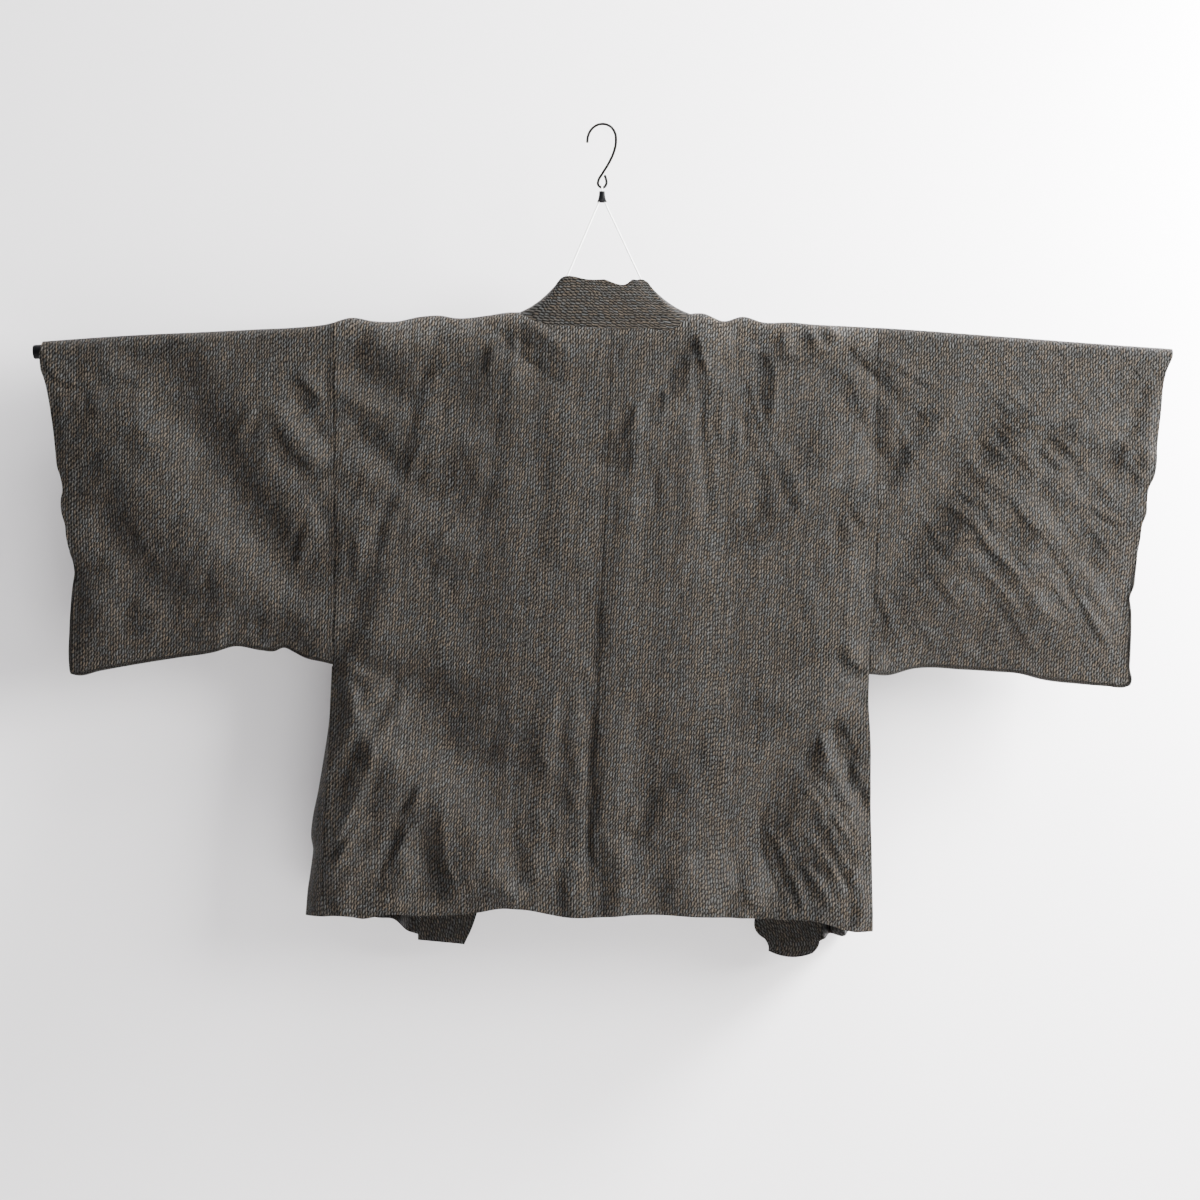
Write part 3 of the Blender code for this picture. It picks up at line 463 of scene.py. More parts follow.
# %% Creases of the upper back
UPPER_BACK_CREASES = (
    # upper back, left
    (-276, -262, -209, -294, 2, 20.2, 11.4), (-300, -281, -241, -316, -8, 7.5, -2.2),
    (-300, -309, -211, -400, 1, 15, 3.5), (-193, -268, -221, -379, -1, 9, 3.4),
    (-203, -246, -183, -283, -6, 20.2, 7.5), (-307, -362, -233, -414, 12, 17.5, -5.4),
    (-227, -409, -255, -483, -1, 7.8, 3.7), (-251, -476, -299, -625, 6, 14.1, 4.5),
    (-298, -429, -302, -504, -1, 23.6, 4.9), (-276, -459, -278, -513, -2, 4.7, 2.6),
    (-182, -337, -203, -410, -7, 7, 3.2), (-171, -369, -151, -408, -6, 40, 5),
    (-141, -336, -122, -400, -2, 18.4, -4.4), (-112, -367, -133, -432, 3, 7.8, 2.4),
    (-108, -271, -117, -371, 1, 6.6, 1.5), (-80, -216, -104, -249, -11, 20, 6.9),
    (-97, -237, -101, -270, 5, 5.9, -3.4), (-97, -195, -47, -286, 0, 20, 6.8),
    (-127, -249, -133, -279, 0, 5.7, 2.7), (-55, -308, -59, -417, -7, 12.9, 2.6),
    (-56, -421, -57, -499, -5, 13.3, 2.5), (-189, -467, -150, -499, -17, 19.1, 4.8),
    (-157, -439, -206, -414, 9, 22.9, 4.9), (-268, -396, -290, -435, 2, 3.2, 1),
    (-258, -380, -275, -428, 2, 6, -1.1), (-175, -234, -159, -270, 8, 12.1, 3.3),
    (-157, -271, -138, -316, -9, 40, 5.7), (-83, -249, -84, -274, -3, 7.2, -1.8),
    (-187, -495, -191, -526, -1, 5.6, 0.8), (-136, -433, -147, -475, -2, 5.1, -1.4),
    # upper back, right
    (103, -240, 122, -308, -8, 9.7, 4.1), (115, -301, 114, -366, -1, 6.5, 1.9),
    (114, -364, 125, -434, 1, 4.4, 1.1), (96, -295, 103, -452, 2, 10.9, -1.9),
    (93, -253, 82, -306, -4, 10.5, 5.7), (71, -286, 49, -332, 4, 9.3, 3.4),
    (27, -311, 27, -354, 0, 7.6, 2.1), (33, -351, 22, -396, 1, 4.5, 1.4),
    (7, -347, 34, -387, -5, 22.7, 4.8), (15, -420, 17, -461, -4, 13.5, 2),
    (61, -387, 61, -440, 0, 3.6, 1.2), (44, -361, 33, -502, 2, 8.2, -1.3),
    (181, -247, 185, -327, 1, 10.3, 6), (168, -278, 176, -348, -2, 10.4, 3.3),
    (157, -323, 161, -359, 0, 4.9, 2.1), (130, -310, 137, -360, -6, 4.1, 1.7),
    (145, -337, 141, -376, -1, 3.6, 1.3), (195, -373, 218, -434, 3, 13, 7.5),
    (179, -379, 184, -444, 5, 14.1, 5.1), (199, -241, 202, -320, 7, 11.1, 3.8),
    (234, -345, 243, -391, 3, 16.4, 4.7), (220, -357, 243, -418, 1, 12.6, 5.7),
    (202, -224, 192, -260, -1, 17.1, 6.1), (220, -218, 227, -264, 4, 12.7, 8.4),
    (241, -216, 261, -249, -5, 6.6, 5.8), (249, -272, 293, -334, 4, 9.1, 1.9),
    (268, -243, 342, -316, -1, 9.5, 1.9), (285, -272, 306, -303, 2, 7.9, -2.5),
    (290, -367, 305, -423, 0, 18.1, -4.2), (273, -432, 292, -454, 2, 6.2, 2.2),
    (270, -433, 265, -471, 1, 6.8, 1.9), (225, -524, 227, -566, 3, 6.3, 1.3),
    (283, -465, 291, -521, -6, 7.8, -1.8), (160, -429, 184, -469, -10, 40, 7.5),
    (99, -231, 144, -223, -1, 30, -9.2),
)

# %% Creases of the right sleeve's back
RIGHT_SLEEVE_CREASES = (
    # right sleeve
    (484, -515, 529, -607, 8, 10, -1.3), (465, -498, 525, -560, 3, 7.7, 1.3),
    (444, -428, 521, -490, -8, 12.7, 2.9), (527, -496, 567, -567, 2, 7.1, 2.1),
    (389, -367, 483, -459, -2, 5.6, 1.3), (397, -427, 391, -468, -6, 14.2, 4.9),
    (399, -432, 463, -526, 3, 11.5, 5.4), (396, -427, 458, -488, -2, 7.3, -3.9),
    (406, -494, 471, -594, 7, 11.2, 3.6), (511, -488, 565, -593, -4, 5.3, 2.1),
    (339, -559, 429, -598, -10, 4.9, 2.1), (440, -304, 476, -346, -2, 9.3, 1.5),
    (446, -342, 456, -364, -1, 10.9, 4), (426, -355, 440, -386, 2, 14.2, 3.2),
    (498, -354, 537, -378, -2, 6.1, 3.3), (488, -366, 516, -391, -2, 7.9, 3.3),
    (505, -334, 507, -357, 0, 16.2, 3), (521, -328, 531, -373, -8, 25.7, 5.6),
    (569, -361, 585, -396, -1, 17.3, 3.7), (596, -348, 567, -374, 1, 7.9, 3.4),
    (604, -358, 601, -388, -1, 7.3, 2.9), (593, -395, 601, -406, -3, 5.3, 2),
    (357, -445, 387, -489, 1, 9.4, 2), (297, -261, 336, -306, -4, 5.3, 0.3),
    (309, -263, 373, -295, -4, 3.4, 1.3), (318, -311, 311, -370, -8, 8.7, 2.9),
    (374, -331, 322, -404, -4, 7.1, 2.2), (301, -517, 316, -579, 6, 4.4, 1.3),
    (462, -357, 513, -391, -10, 33.4, 4.5), (475, -443, 472, -498, -9, 14.3, 5.1),
    (428, -557, 438, -593, -2, 12.4, 2.4), (475, -541, 504, -586, -6, 6.3, 2.3),
    (553, -459, 550, -496, 3, 10.1, 2.6), (357, -490, 380, -513, 2, 6.4, 0.1),
    (472, -417, 528, -490, -1, 6.5, -0.9), (546, -393, 583, -448, -5, 7.1, 1.8),
    (528, -386, 552, -421, -3, 6.2, 1.3), (542, -433, 583, -450, -3, 4, 2.1),
    (392, -517, 433, -565, 2, 6.3, 0.7), (375, -519, 391, -537, -2, 3.7, 0.9),
    (489, -398, 530, -433, -2, 10, 2.3), (547, -587, 561, -609, 0, 4.4, 1.4),
    (463, -337, 500, -361, 1, 12, 2.9), (375, -354, 411, -403, 3, 18.5, 2.5),
    (345, -476, 358, -514, -4, 20.7, 3.4), (357, -594, 390, -606, 0, 7, 1.6),
    (447, -604, 468, -610, -4, 5.1, 2.8), (426, -265, 481, -285, -2, 11.2, 0.3),
    (614, -290, 598, -354, -7, 7.8, 2.1), (463, -524, 511, -572, -3, 10.5, 2.5),
    (526, -443, 579, -531, 3, 9.9, 0.2), (356, -316, 360, -335, -2, 12.1, 2.2),
    (520, -470, 545, -640, 0, 68, -11),
)

# %% Creases of the lower back
LOWER_BACK_CREASES = (
    # lower back, left
    (-229, -732, -270, -825, -4, 26.5, -9), (-212, -769, -230, -850, -4, 9.3, 5.9),
    (-258, -823, -285, -864, -3, 9.5, -3), (-92, -765, -82, -856, -7, 12.1, 4.8),
    (-63, -756, -68, -848, 7, 4.7, 1.8), (-367, -566, -141, -640, 1, 20.8, 7.5),
    (-272, -646, -127, -795, 6, 33.8, -10.1), (-121, -711, -99, -866, 1, 30.3, -5.6),
    (-270, -679, -311, -833, 9, 8.3, 6.5), (-256, -712, -298, -817, -2, 10.9, -11),
    (-264, -770, -299, -827, -3, 4.3, 5.4), (-269, -690, -258, -747, 7, 11.6, 4.8),
    (-205, -736, -245, -853, -5, 5.5, 3.4), (-261, -748, -235, -801, 3, 18.3, 5.2),
    (-217, -757, -176, -873, 12, 14.5, 6.4), (-158, -781, -146, -861, -4, 8.6, 2.4),
    (-223, -801, -229, -873, 7, 16.3, -6.9), (-118, -856, -94, -874, -3, 8.6, 4.5),
    (-72, -652, -68, -737, -9, 11.4, 3.3), (-79, -751, -85, -842, 3, 9.8, 3.5),
    (-41, -660, -19, -742, -11, 3.6, 1.1), (-44, -822, -39, -891, -5, 10.6, 3.8),
    (-6, -650, -16, -846, 2, 5.4, 2.9), (-31, -619, -21, -807, 3, 9.5, -3.4),
    (-8, -791, -2, -893, 8, 12, 5.8), (-107, -646, -131, -742, 5, 10.3, 1.7),
    (-165, -659, -158, -701, -7, 17.5, 3.3), (-275, -615, -270, -653, 7, 10.9, 5.5),
    (-231, -642, -266, -693, -1, 6.8, 3.5), (-307, -824, -292, -896, -5, 6.5, 2.9),
    (-261, -825, -267, -866, -3, 24.5, -5.2), (-281, -633, -286, -669, 2, 5.5, 3),
    (-298, -594, -308, -713, 11, 11.6, 8), (-49, -624, -60, -753, 1, 8.5, -1.9),
    (-133, -828, -129, -869, -2, 7.7, 2), (-213, -618, -237, -632, -4, 6.8, 2.8),
    (-32, -519, -27, -619, -5, 12.5, -2.7), (-46, -534, -48, -631, -3, 10.1, -1),
    (7, -457, 7, -599, -2, 12, 1.9), (-215, -690, -200, -850, 0, 80, -10),
    # lower back, right
    (198, -772, 233, -855, 4, 6.9, 2.1), (261, -837, 269, -882, 2, 6.9, 0.9),
    (198, -820, 225, -886, -3, 4, 2.1), (40, -826, 26, -882, -8, 4.9, -0.9),
    (192, -752, 211, -944, -6, 23.1, 11), (241, -771, 254, -921, -3, 21.2, 11),
    (237, -765, 286, -841, -6, 6.3, 2.5), (206, -761, 242, -791, -2, 12.3, 3.2),
    (250, -677, 236, -730, -6, 12.2, 4.4), (260, -651, 295, -716, -6, 10.2, 3.4),
    (245, -678, 288, -774, -5, 7.7, -4.7), (235, -733, 271, -799, 1, 3.2, 1.7),
    (218, -745, 272, -803, 3, 4, 1.2), (69, -741, 41, -805, -3, 11, 3.9),
    (76, -822, 96, -891, -17, 16.6, 5.5), (81, -831, 59, -883, 1, 6, 0.5),
    (146, -851, 149, -901, 3, 11.6, 5), (32, -758, 27, -794, -2, 4.3, 2),
    (96, -696, 115, -775, -5, 14.7, -3.2), (263, -593, 314, -616, -11, 9, 4.4),
    (167, -665, 215, -677, -3, 14.5, 2), (266, -828, 275, -900, 7, 6.6, 4.9),
    (2, -534, -3, -633, -2, 6.2, 1.8), (151, -823, 194, -914, -5, 10.2, 6.3),
    (85, -811, 126, -862, -2, 9.9, -1.6), (226, -828, 196, -887, 5, 22.7, 11),
    (233, -821, 276, -867, -5, 5.7, 3.9), (26, -654, 21, -780, -2, 18.5, -5.9),
    (254, -797, 274, -835, 3, 5.6, -3.3), (287, -705, 282, -748, -6, 5.4, 2.6),
    (141, -634, 124, -689, 4, 30.6, -2.2), (268, -800, 285, -905, 0, 36, 6),
    # bands that run down to the left
    (311, -615, 167, -715, 0, 15.7, -11), (172, -708, 107, -823, -9, 38.8, -11),
    (469, -344, 312, -590, -21, 37.6, 9.3), (258, -605, 82, -740, -23, 27.7, 9.8),
    (416, -312, 293, -477, 10, 25.8, -10.7),
)

# %% Sharp creases of the whole back
SHARP_CREASES = (
    # neck and shoulders
    (102, -234, 116, -282, -3, 2.6, 1.7), (116, -276, 116, -354, 0, 2.4, 0.8),
    (91, -258, 88, -300, 0, 4, 1.9), (70, -296, 66, -327, 0, 3, 1.1),
    (131, -285, 133, -345, 1, 2.2, 0.7), (161, -285, 173, -336, -2, 2.3, 0.9),
    (185, -267, 185, -336, 3, 4, 1.7), (146, -327, 146, -374, 0, 2.2, 0.7),
    (174, -331, 200, -381, -2, 2.2, 0.8), (197, -222, 198, -249, 0, 4.5, 1.7),
    (226, -229, 236, -248, 2, 4, 1.7), (244, -226, 260, -243, 3, 2.6, 1.6),
    (264, -276, 288, -318, 2, 3, 1.1), (36, -311, 19, -358, 2, 3, 1.5),
    (-99, -220, -106, -287, 1, 2.8, 1.4), (-125, -249, -131, -280, 0, 3, 1.2),
    (-189, -336, -219, -394, -3, 3.5, 1.9), (77, -255, 67, -271, 0, 2.4, 0.7),
    # left sleeve and armhole
    (-617, -267, -594, -296, 2, 2.6, 1.8), (-541, -285, -518, -299, 1, 2.2, 1),
    (-522, -341, -503, -352, 0, 2.2, 1), (-342, -287, -317, -314, 2, 4, 2.2),
    (-369, -337, -322, -390, -2, 4, 1.6), (-534, -441, -494, -503, 2, 4.5, 1.8),
    (-469, -577, -429, -586, 3, 3, 2.5), (-400, -577, -380, -591, -2, 3, 2),
    (-364, -591, -346, -573, 2, 3, 1.7), (-342, -568, -313, -597, 2, 3, 1.8),
    (-614, -387, -565, -374, -2, 3, 1.3), (-608, -412, -556, -419, 1, 3, 1.3),
    (-599, -537, -547, -521, -2, 3, 1.3),
    # right sleeve
    (273, -251, 311, -285, 2, 2.4, 1.1), (317, -268, 371, -297, 0, 2.4, 0.6),
    (449, -305, 483, -330, -2, 2, 1), (429, -306, 454, -320, 0, 2.2, 0.7),
    (441, -334, 466, -355, 1, 2.4, 1.1), (427, -355, 451, -372, 0, 2.2, 0.7),
    (459, -372, 480, -392, 0, 2.4, 1), (498, -350, 522, -374, 1, 2.4, 1.3),
    (487, -364, 512, -388, 0, 2.4, 0.8), (390, -401, 422, -431, -2, 2.4, 1.1),
    (404, -374, 451, -421, 2, 2.6, 0.7), (449, -417, 505, -483, -3, 2.6, 1.1),
    (500, -479, 550, -530, -2, 2.2, 1), (385, -428, 424, -469, 3, 3.4, 1.8),
    (420, -464, 469, -518, 2, 2.4, 1.4), (352, -430, 389, -489, -3, 3, 1.2),
    (384, -483, 404, -503, 0, 2.2, 0.6), (420, -506, 471, -557, 2, 2.4, 1.4),
    (387, -528, 407, -549, 0, 2.2, 0.7), (449, -546, 483, -593, 2, 2.4, 1.4),
    (529, -527, 570, -591, -2, 2.2, 1.6), (340, -554, 371, -591, 3, 2.4, 1.4),
    (311, -544, 325, -569, 0, 2.4, 0.9), (546, -430, 580, -446, -2, 2.2, 1.1),
    (578, -320, 602, -345, 0, 2, 0.7), (581, -379, 602, -403, -1, 2.2, 1.3),
    (544, -457, 573, -501, 2, 2.6, 0.8), (575, -486, 585, -503, 0, 2.4, 0.8),
    (381, -586, 416, -600, 2, 2.2, 1.2), (340, -603, 360, -588, -1, 2.2, 1.2),
    (448, -604, 485, -613, 2, 2.4, 1.1), (489, -617, 525, -622, -2, 2.2, 0.9),
    (480, -545, 512, -564, 0, 2.2, 0.7), (498, -520, 524, -549, 1, 2.4, 0.8),
    (527, -574, 567, -620, 2, 2.2, 0.7), (411, -411, 435, -458, 1, 2.8, 0.8),
    (567, -369, 582, -357, 0, 2.6, 1.3), (326, -349, 342, -383, 2, 4, 1.3),
    # lower back
    (-258, -687, -290, -780, 4, 3.8, 3.9), (-245, -739, -266, -760, 0, 2.6, 1.9),
    (-280, -794, -300, -821, 2, 2.8, 2.5), (-205, -740, -239, -789, 2, 2.8, 2.7),
    (-201, -773, -237, -824, -2, 3, 2.5), (-182, -769, -181, -818, -3, 3.6, 1.5),
    (-183, -812, -166, -850, 0, 3.4, 1.4), (-76, -698, -64, -726, 1, 3.2, 1.2),
    (-45, -738, -31, -776, 0, 3, 1), (-12, -691, -14, -818, 1, 2.6, 1.6),
    (-14, -807, -3, -832, 0, 2.8, 1.2), (-46, -843, -44, -881, 0, 3.6, 1.4),
    (-105, -854, -98, -874, 0, 3, 1.4), (-302, -604, -279, -615, 1, 2.6, 1.4),
    (-277, -600, -190, -615, 3, 3.6, 1.4), (271, -596, 297, -616, -3, 2.2, 1.7),
    (240, -684, 258, -731, -2, 3, 1.4), (265, -669, 286, -710, -2, 2.4, 1.3),
    (292, -681, 286, -706, 0, 2.6, 1.4), (269, -706, 297, -757, 0, 2.6, 1.3),
    (254, -759, 284, -798, 2, 2.2, 1.4), (251, -780, 258, -810, 0, 2.4, 1.1),
    (256, -806, 279, -837, -2, 2.2, 1.5), (184, -763, 183, -792, -2, 3, 1.4),
    (182, -787, 209, -836, -2, 2.6, 1.7), (208, -834, 221, -874, 0, 2.8, 1.4),
    (180, -798, 187, -825, 0, 2.4, 1.1), (184, -821, 213, -877, -2, 2.4, 1.5),
    (217, -788, 264, -854, 2, 2.8, 1.5), (261, -851, 275, -866, 0, 2.2, 0.9),
    (220, -825, 250, -879, 2, 3, 1.5), (280, -834, 278, -877, -2, 2.4, 1.1),
    (54, -776, 48, -801, 0, 3, 1), (69, -861, 72, -879, 0, 3, 1.1),
)

# %% Creases of the whole back
SOFT_CREASES = (
    LEFT_SLEEVE_CREASES + UPPER_BACK_CREASES + RIGHT_SLEEVE_CREASES + LOWER_BACK_CREASES
)
BACK_CREASES = SOFT_CREASES + SHARP_CREASES
print(len(SOFT_CREASES), "soft and", len(SHARP_CREASES), "sharp creases in the back")

# %% [markdown]
# ## The creases of the fronts
# The fronts are never seen with the back, so they only need creases of the same kinds: slanting
# ones in the sleeves, a few from the shoulders, and drapes that end in the hems.

# %% Creases of the fronts
FRONT_CREASES = (
    # left sleeve
    (-404, -355, -491, -449, 0, 9, 3.6), (-398, -441, -462, -523, 3, 8, 3.4),
    (-512, -473, -562, -573, -4, 10, 4), (-330, -303, -360, -423, 0, 9, 2.6),
    (-360, -300, -560, -420, 8, 24, -5), (-448, -268, -540, -330, 0, 8, 2),
    (-340, -470, -420, -590, -3, 7, 2.8), (-500, -380, -580, -470, 0, 8, 2.2),
    # right sleeve
    (345, -300, 520, -470, -8, 24, -5.5), (410, -376, 500, -470, 3, 8, 3.2),
    (494, -293, 575, -380, 0, 9, 2.6), (330, -420, 400, -520, -4, 8, 3),
    (440, -490, 520, -600, 0, 9, 3.4), (540, -440, 590, -540, 3, 7, 2),
    (345, -540, 430, -600, 5, 8, 2.4),
    # shoulders and fronts
    (-270, -283, -220, -383, 0, 9, 3.4), (-140, -263, -180, -403, 5, 8, 3),
    (265, -278, 225, -393, 0, 9, 3), (160, -268, 185, -403, 0, 8, 3),
    (-225, -430, -200, -560, 4, 8, 2.2), (230, -450, 255, -570, -4, 8, 2.2),
    (-285, -640, -230, -760, 5, 12, 4), (-250, -780, -235, -880, 0, 9, 4),
    (285, -650, 240, -760, -5, 12, 4), (262, -790, 268, -895, 0, 9, 4),
    (200, -600, 215, -700, 0, 8, 2), (-180, -620, -200, -740, 0, 8, 2),
)
print(len(FRONT_CREASES), "creases in the fronts")

# %% [markdown]
# ## Puckers
# Between the creases the cloth is never flat. A loose weave holds small, soft unevenness, a
# little longer down the cloth than across it. A fixed handful of waves with different lengths
# and directions, added together, gives it without any visible repeat.

# %% Puckers
PUCKER_WAVES = 26
PUCKER_SIZE = 0.10
ACROSS_LENGTHS = (13.0, 34.0)
DOWN_LENGTHS = (24.0, 75.0)


def pucker_waves(seed):
    draw = np.random.default_rng(seed)
    across = draw.uniform(*ACROSS_LENGTHS, PUCKER_WAVES)
    down = draw.uniform(*DOWN_LENGTHS, PUCKER_WAVES) * draw.choice([-1, 1], PUCKER_WAVES)
    start = draw.uniform(0, 2 * math.pi, PUCKER_WAVES)
    return np.stack([2 * math.pi / across, 2 * math.pi / down, start], axis=1)


BACK_WAVES = pucker_waves(11)
FRONT_WAVES = pucker_waves(23)


def puckers(waves, x, z):
    x, z = np.broadcast_arrays(x, z)
    slow = 0.65 + 0.35 * np.sin(x / 47.0 + 1.3) * np.sin(z / 61.0 + 0.4)
    total = np.zeros(x.shape)
    for across, down, start in waves:
        total += np.sin(x * across + z * down + start) / (1 + 9 * across)
    return PUCKER_SIZE * 2 * slow * total


# %% [markdown]
# ## Seam shapes
# The spare cloth of a seam is pressed to the left, so the piece on the right starts a little
# lower and rises out of the seam, which is what draws a dark line there. The tension also
# leaves short ripples beside it. The same two effects are added at every sewn edge.

# %% Along a seam
SEAM_ROLL = 1.2
ROLL_REACH = 1.2
RIPPLE = 0.35
RIPPLE_REACH = 14.0


def seam_dip(offset, run):
    """How far the cloth sinks near a seam, with ripples, for a place right or left of it."""
    distance = np.abs(offset)
    roll = SEAM_ROLL * np.exp(-distance / ROLL_REACH) * (offset > 0)
    wave = np.sin(run / 3.7 + 1.1 * np.sin(run / 23.0)) * np.sin(run / 41.0 + 0.7)
    return roll + RIPPLE * wave * np.exp(-distance / RIPPLE_REACH) * smooth(distance / 3.0)


# %% [markdown]
# ## The body's surfaces
# A point of the back is found from two shares: how far across from the centre seam to the side
# seam, and how far down from the shoulder or the neck to the hem. The place across depends on
# the height and the height on the place, so the two are worked out in turns until they agree.

# %% Back and front of the body
SIDE_DEPTH = 16.0
BACK_BELLY = 0.25
BODY_BAG = 7.0
BAG_START = 130.0
EDGE_DEPTH = 22.0
BODY_DROP = 660.0
FOLD_START = 14.0
PLEAT_START = 90.0
MID_HEIGHT = -400.0
NECK_LINE = -210.7


def side_depth(below):
    return SIDE_DEPTH * below / BODY_DROP


def pushed(creases, waves, x, z, below, turned=1.0):
    """Creases and puckers, which can't push the cloth into the bar.

    turned is the share of the quarter turn over the bar that the cloth has made."""
    push = relief(creases, x, z) + puckers(waves, x, z)
    return np.where(push > 0, push * turned, push * smooth(below / FOLD_START))


def back_across(half, share, z):
    centre = along(CENTRE_BACK, z) + math.copysign(SEAM, half.neck_x)
    side = along(half.side_seam, z) - math.copysign(SEAM, half.neck_x)
    return centre + (side - centre) * share


def back_point(half, share, down):
    """Points of the back, and where they lie in the flat cloth."""
    x = back_across(half, share, MID_HEIGHT)
    for _ in range(5):
        inside_neck = np.abs(x) < np.abs(half.neck_x)
        start = np.where(inside_neck, neck_start(x) + NECK_SEAM, 0.0)
        end = quarter_turn(x) + bar_height(x) - along(BACK_HEM, x)
        run = start + (end - start) * down
        reach, z, below = over_bar(x, run)
        x = back_across(half, share, z)
    middle = 1 - (x / along(LEFT.side_seam, z)) ** 2
    reach = reach + side_depth(below) * (1 + BACK_BELLY * middle)
    reach = reach + BODY_BAG * middle * smooth(below / BAG_START)
    turned = np.clip(run / quarter_turn(x), 0, 1)
    reach = reach + pushed(BACK_CREASES, BACK_WAVES, x, z, below, turned)
    from_centre = x - along(CENTRE_BACK, z)
    from_side = x - along(half.side_seam, z)
    reach = reach - seam_dip(from_centre, run) - seam_dip(from_side, run + 40)
    return (x, -reach, z), (x - along(CENTRE_BACK, z), run)


# %% [markdown]
# ## The fronts
# Each front hangs open beside its collar. It is as wide as the back but its edge swings
# outwards, so the spare width falls into two soft pleats.

# %% Fronts
PLEATS = 2
PLEAT_MARGIN = 0.08


def front_across(half, share, z):
    edge = along(half.front_edge, z) + math.copysign(EDGE_SEAM, half.neck_x)
    side = along(half.side_seam, z) - math.copysign(SEAM, half.neck_x)
    return edge + (side - edge) * share


def pleat_size(half, z):
    full = abs(along(half.side_seam, NECK_LINE) - half.neck_x)
    width = np.abs(along(half.side_seam, z) - along(half.front_edge, z))
    return np.sqrt(np.maximum(full**2 - width**2, 0)) / (4 * PLEATS)


def front_reach(half, share, x, reach, z, below, turned=1.0):
    edge = EDGE_DEPTH * (below / BODY_DROP) ** 1.2
    reach = reach + edge * (1 - share) + side_depth(below) * share
    reach = reach + BODY_BAG * (1 - share**2) * smooth(below / BAG_START)
    inside = np.clip((share - PLEAT_MARGIN) / (1 - 2 * PLEAT_MARGIN), 0, 1)
    pleats = pleat_size(half, z) * (1 - np.cos(2 * math.pi * PLEATS * inside))
    reach = reach + pleats * smooth(below / PLEAT_START)
    return reach + pushed(FRONT_CREASES, FRONT_WAVES, x, z, below, turned)


def front_point(half, share, down):
    """Points of a front, and where they lie in the flat cloth."""
    x = front_across(half, share, MID_HEIGHT)
    for _ in range(5):
        end = quarter_turn(x) + bar_height(x) - along(half.front_hem, x)
        run = end * down
        reach, z, below = over_bar(x, run)
        x = front_across(half, share, z)
    turned = np.clip(run / quarter_turn(x), 0, 1)
    reach = front_reach(half, share, x, reach, z, below, turned)
    from_edge = x - along(half.front_edge, z)
    from_side = x - along(half.side_seam, z)
    reach = reach - seam_dip(from_edge, run) - seam_dip(from_side, run + 40)
    return (x, reach, z), (x - along(half.side_seam, z), -run)


# %% [markdown]
# ## The sleeves' surfaces
# The middle of a sleeve bags out, and its closed edges pinch back together. The opening for the
# hand is left open above the sewn part of the cuff edge.

# %% Sleeve surface
SLEEVE_BAG = 10.0
SLEEVE_DROP = 375.0
CUFF_OPENING = 235.0
CUFF_CLOSES = 30.0
EDGE_ROLL = 3.0
CLOSED_SHARE = 0.6
BOTTOM_SHUTS = 0.2
EDGE_SHUTS = 0.15
ARMHOLE_BLEND = 0.3
CUFF_TURN, CUFF_TURN_REACH = 2.4, 13.0
LEAST_REACH = 1.2


def sleeve_point(sleeve, share, down, side):
    """Points of a sleeve: side is -1 for the back, 1 for the front, 0 for the roll between."""
    sign = math.copysign(1, sleeve.cuff_edge[0][1])
    z = np.full(np.shape(share + down), MID_HEIGHT)
    closed = smooth((down * SLEEVE_DROP - CUFF_OPENING) / CUFF_CLOSES)
    roll = np.where(side == 0, 0.0, EDGE_ROLL)
    for _ in range(6):
        seam = along(sleeve.side_seam, z) + sign * SEAM
        cuff = along(sleeve.cuff_edge, z) - sign * roll * closed
        x = seam + (cuff - seam) * share
        bottom = along(sleeve.bottom_edge, x) + roll
        end = quarter_turn(x) + bar_height(x) - bottom
        run = end * down
        reach, z, below = over_bar(x, run)
    bag = SLEEVE_BAG * np.sin(math.pi * np.clip(down, 0, 1))
    blend = smooth(share / ARMHOLE_BLEND)
    reach = reach + side_depth(below) * (1 - blend) + bag * blend
    bottom_shut = smooth(1 + (down - 1) / BOTTOM_SHUTS) * blend
    shut = np.maximum(bottom_shut, smooth(1 + (share - 1) / EDGE_SHUTS) * closed)
    creases, waves = (BACK_CREASES, BACK_WAVES) if side < 0 else (FRONT_CREASES, FRONT_WAVES)
    turned = np.clip(run / quarter_turn(x), 0, 1)
    push = pushed(creases, waves, x, z, below, turned) * (1 - 0.5 * shut)
    at_cuff = smooth(1 - np.abs(x - cuff) / CUFF_TURN_REACH)
    turn_in = CUFF_TURN * at_cuff * smooth(below / PLEAT_START)
    reach = np.maximum(reach * (1 - CLOSED_SHARE * shut) + push - turn_in, LEAST_REACH)
    reach = reach - seam_dip(x - along(sleeve.side_seam, z), run + 40)
    return (x, side * reach, z), (x - along(sleeve.side_seam, z), -side * run)


# %% [markdown]
# ## From a sheet to a shell
# A render shows the cut edge of wool, so each sheet gets a real thickness: one copy of it moves
# half the thickness along its own normals, one moves the other way, and a strip closes every
# free edge. Each corner also keeps its place in the flat cloth, in metres, in a layer called
# cut. The weave is drawn from that, so it follows the cloth and not the room.

# %% Grids, joined rows and shells
VISIBLE_CLOTH = 1.3


def stacked(*columns):
    return np.stack(np.broadcast_arrays(*columns), axis=-1).reshape(-1, len(columns))


def grid_quads(index):
    """Four-sided faces between the rows and columns of a grid of point numbers."""
    corners = (index[:-1, :-1], index[1:, :-1], index[1:, 1:], index[:-1, 1:])
    return np.stack(corners, axis=-1).reshape(-1, 4)


def sheet_normals(points, quads):
    a, b, c, d = (points[quads[:, corner]] for corner in range(4))
    face = np.cross(c - a, d - b)
    total = np.zeros(points.shape)
    for corner in range(4):
        for axis in range(3):
            total[:, axis] += np.bincount(quads[:, corner], face[:, axis], len(points))
    return total / np.maximum(np.linalg.norm(total, axis=1, keepdims=True), 1e-12)


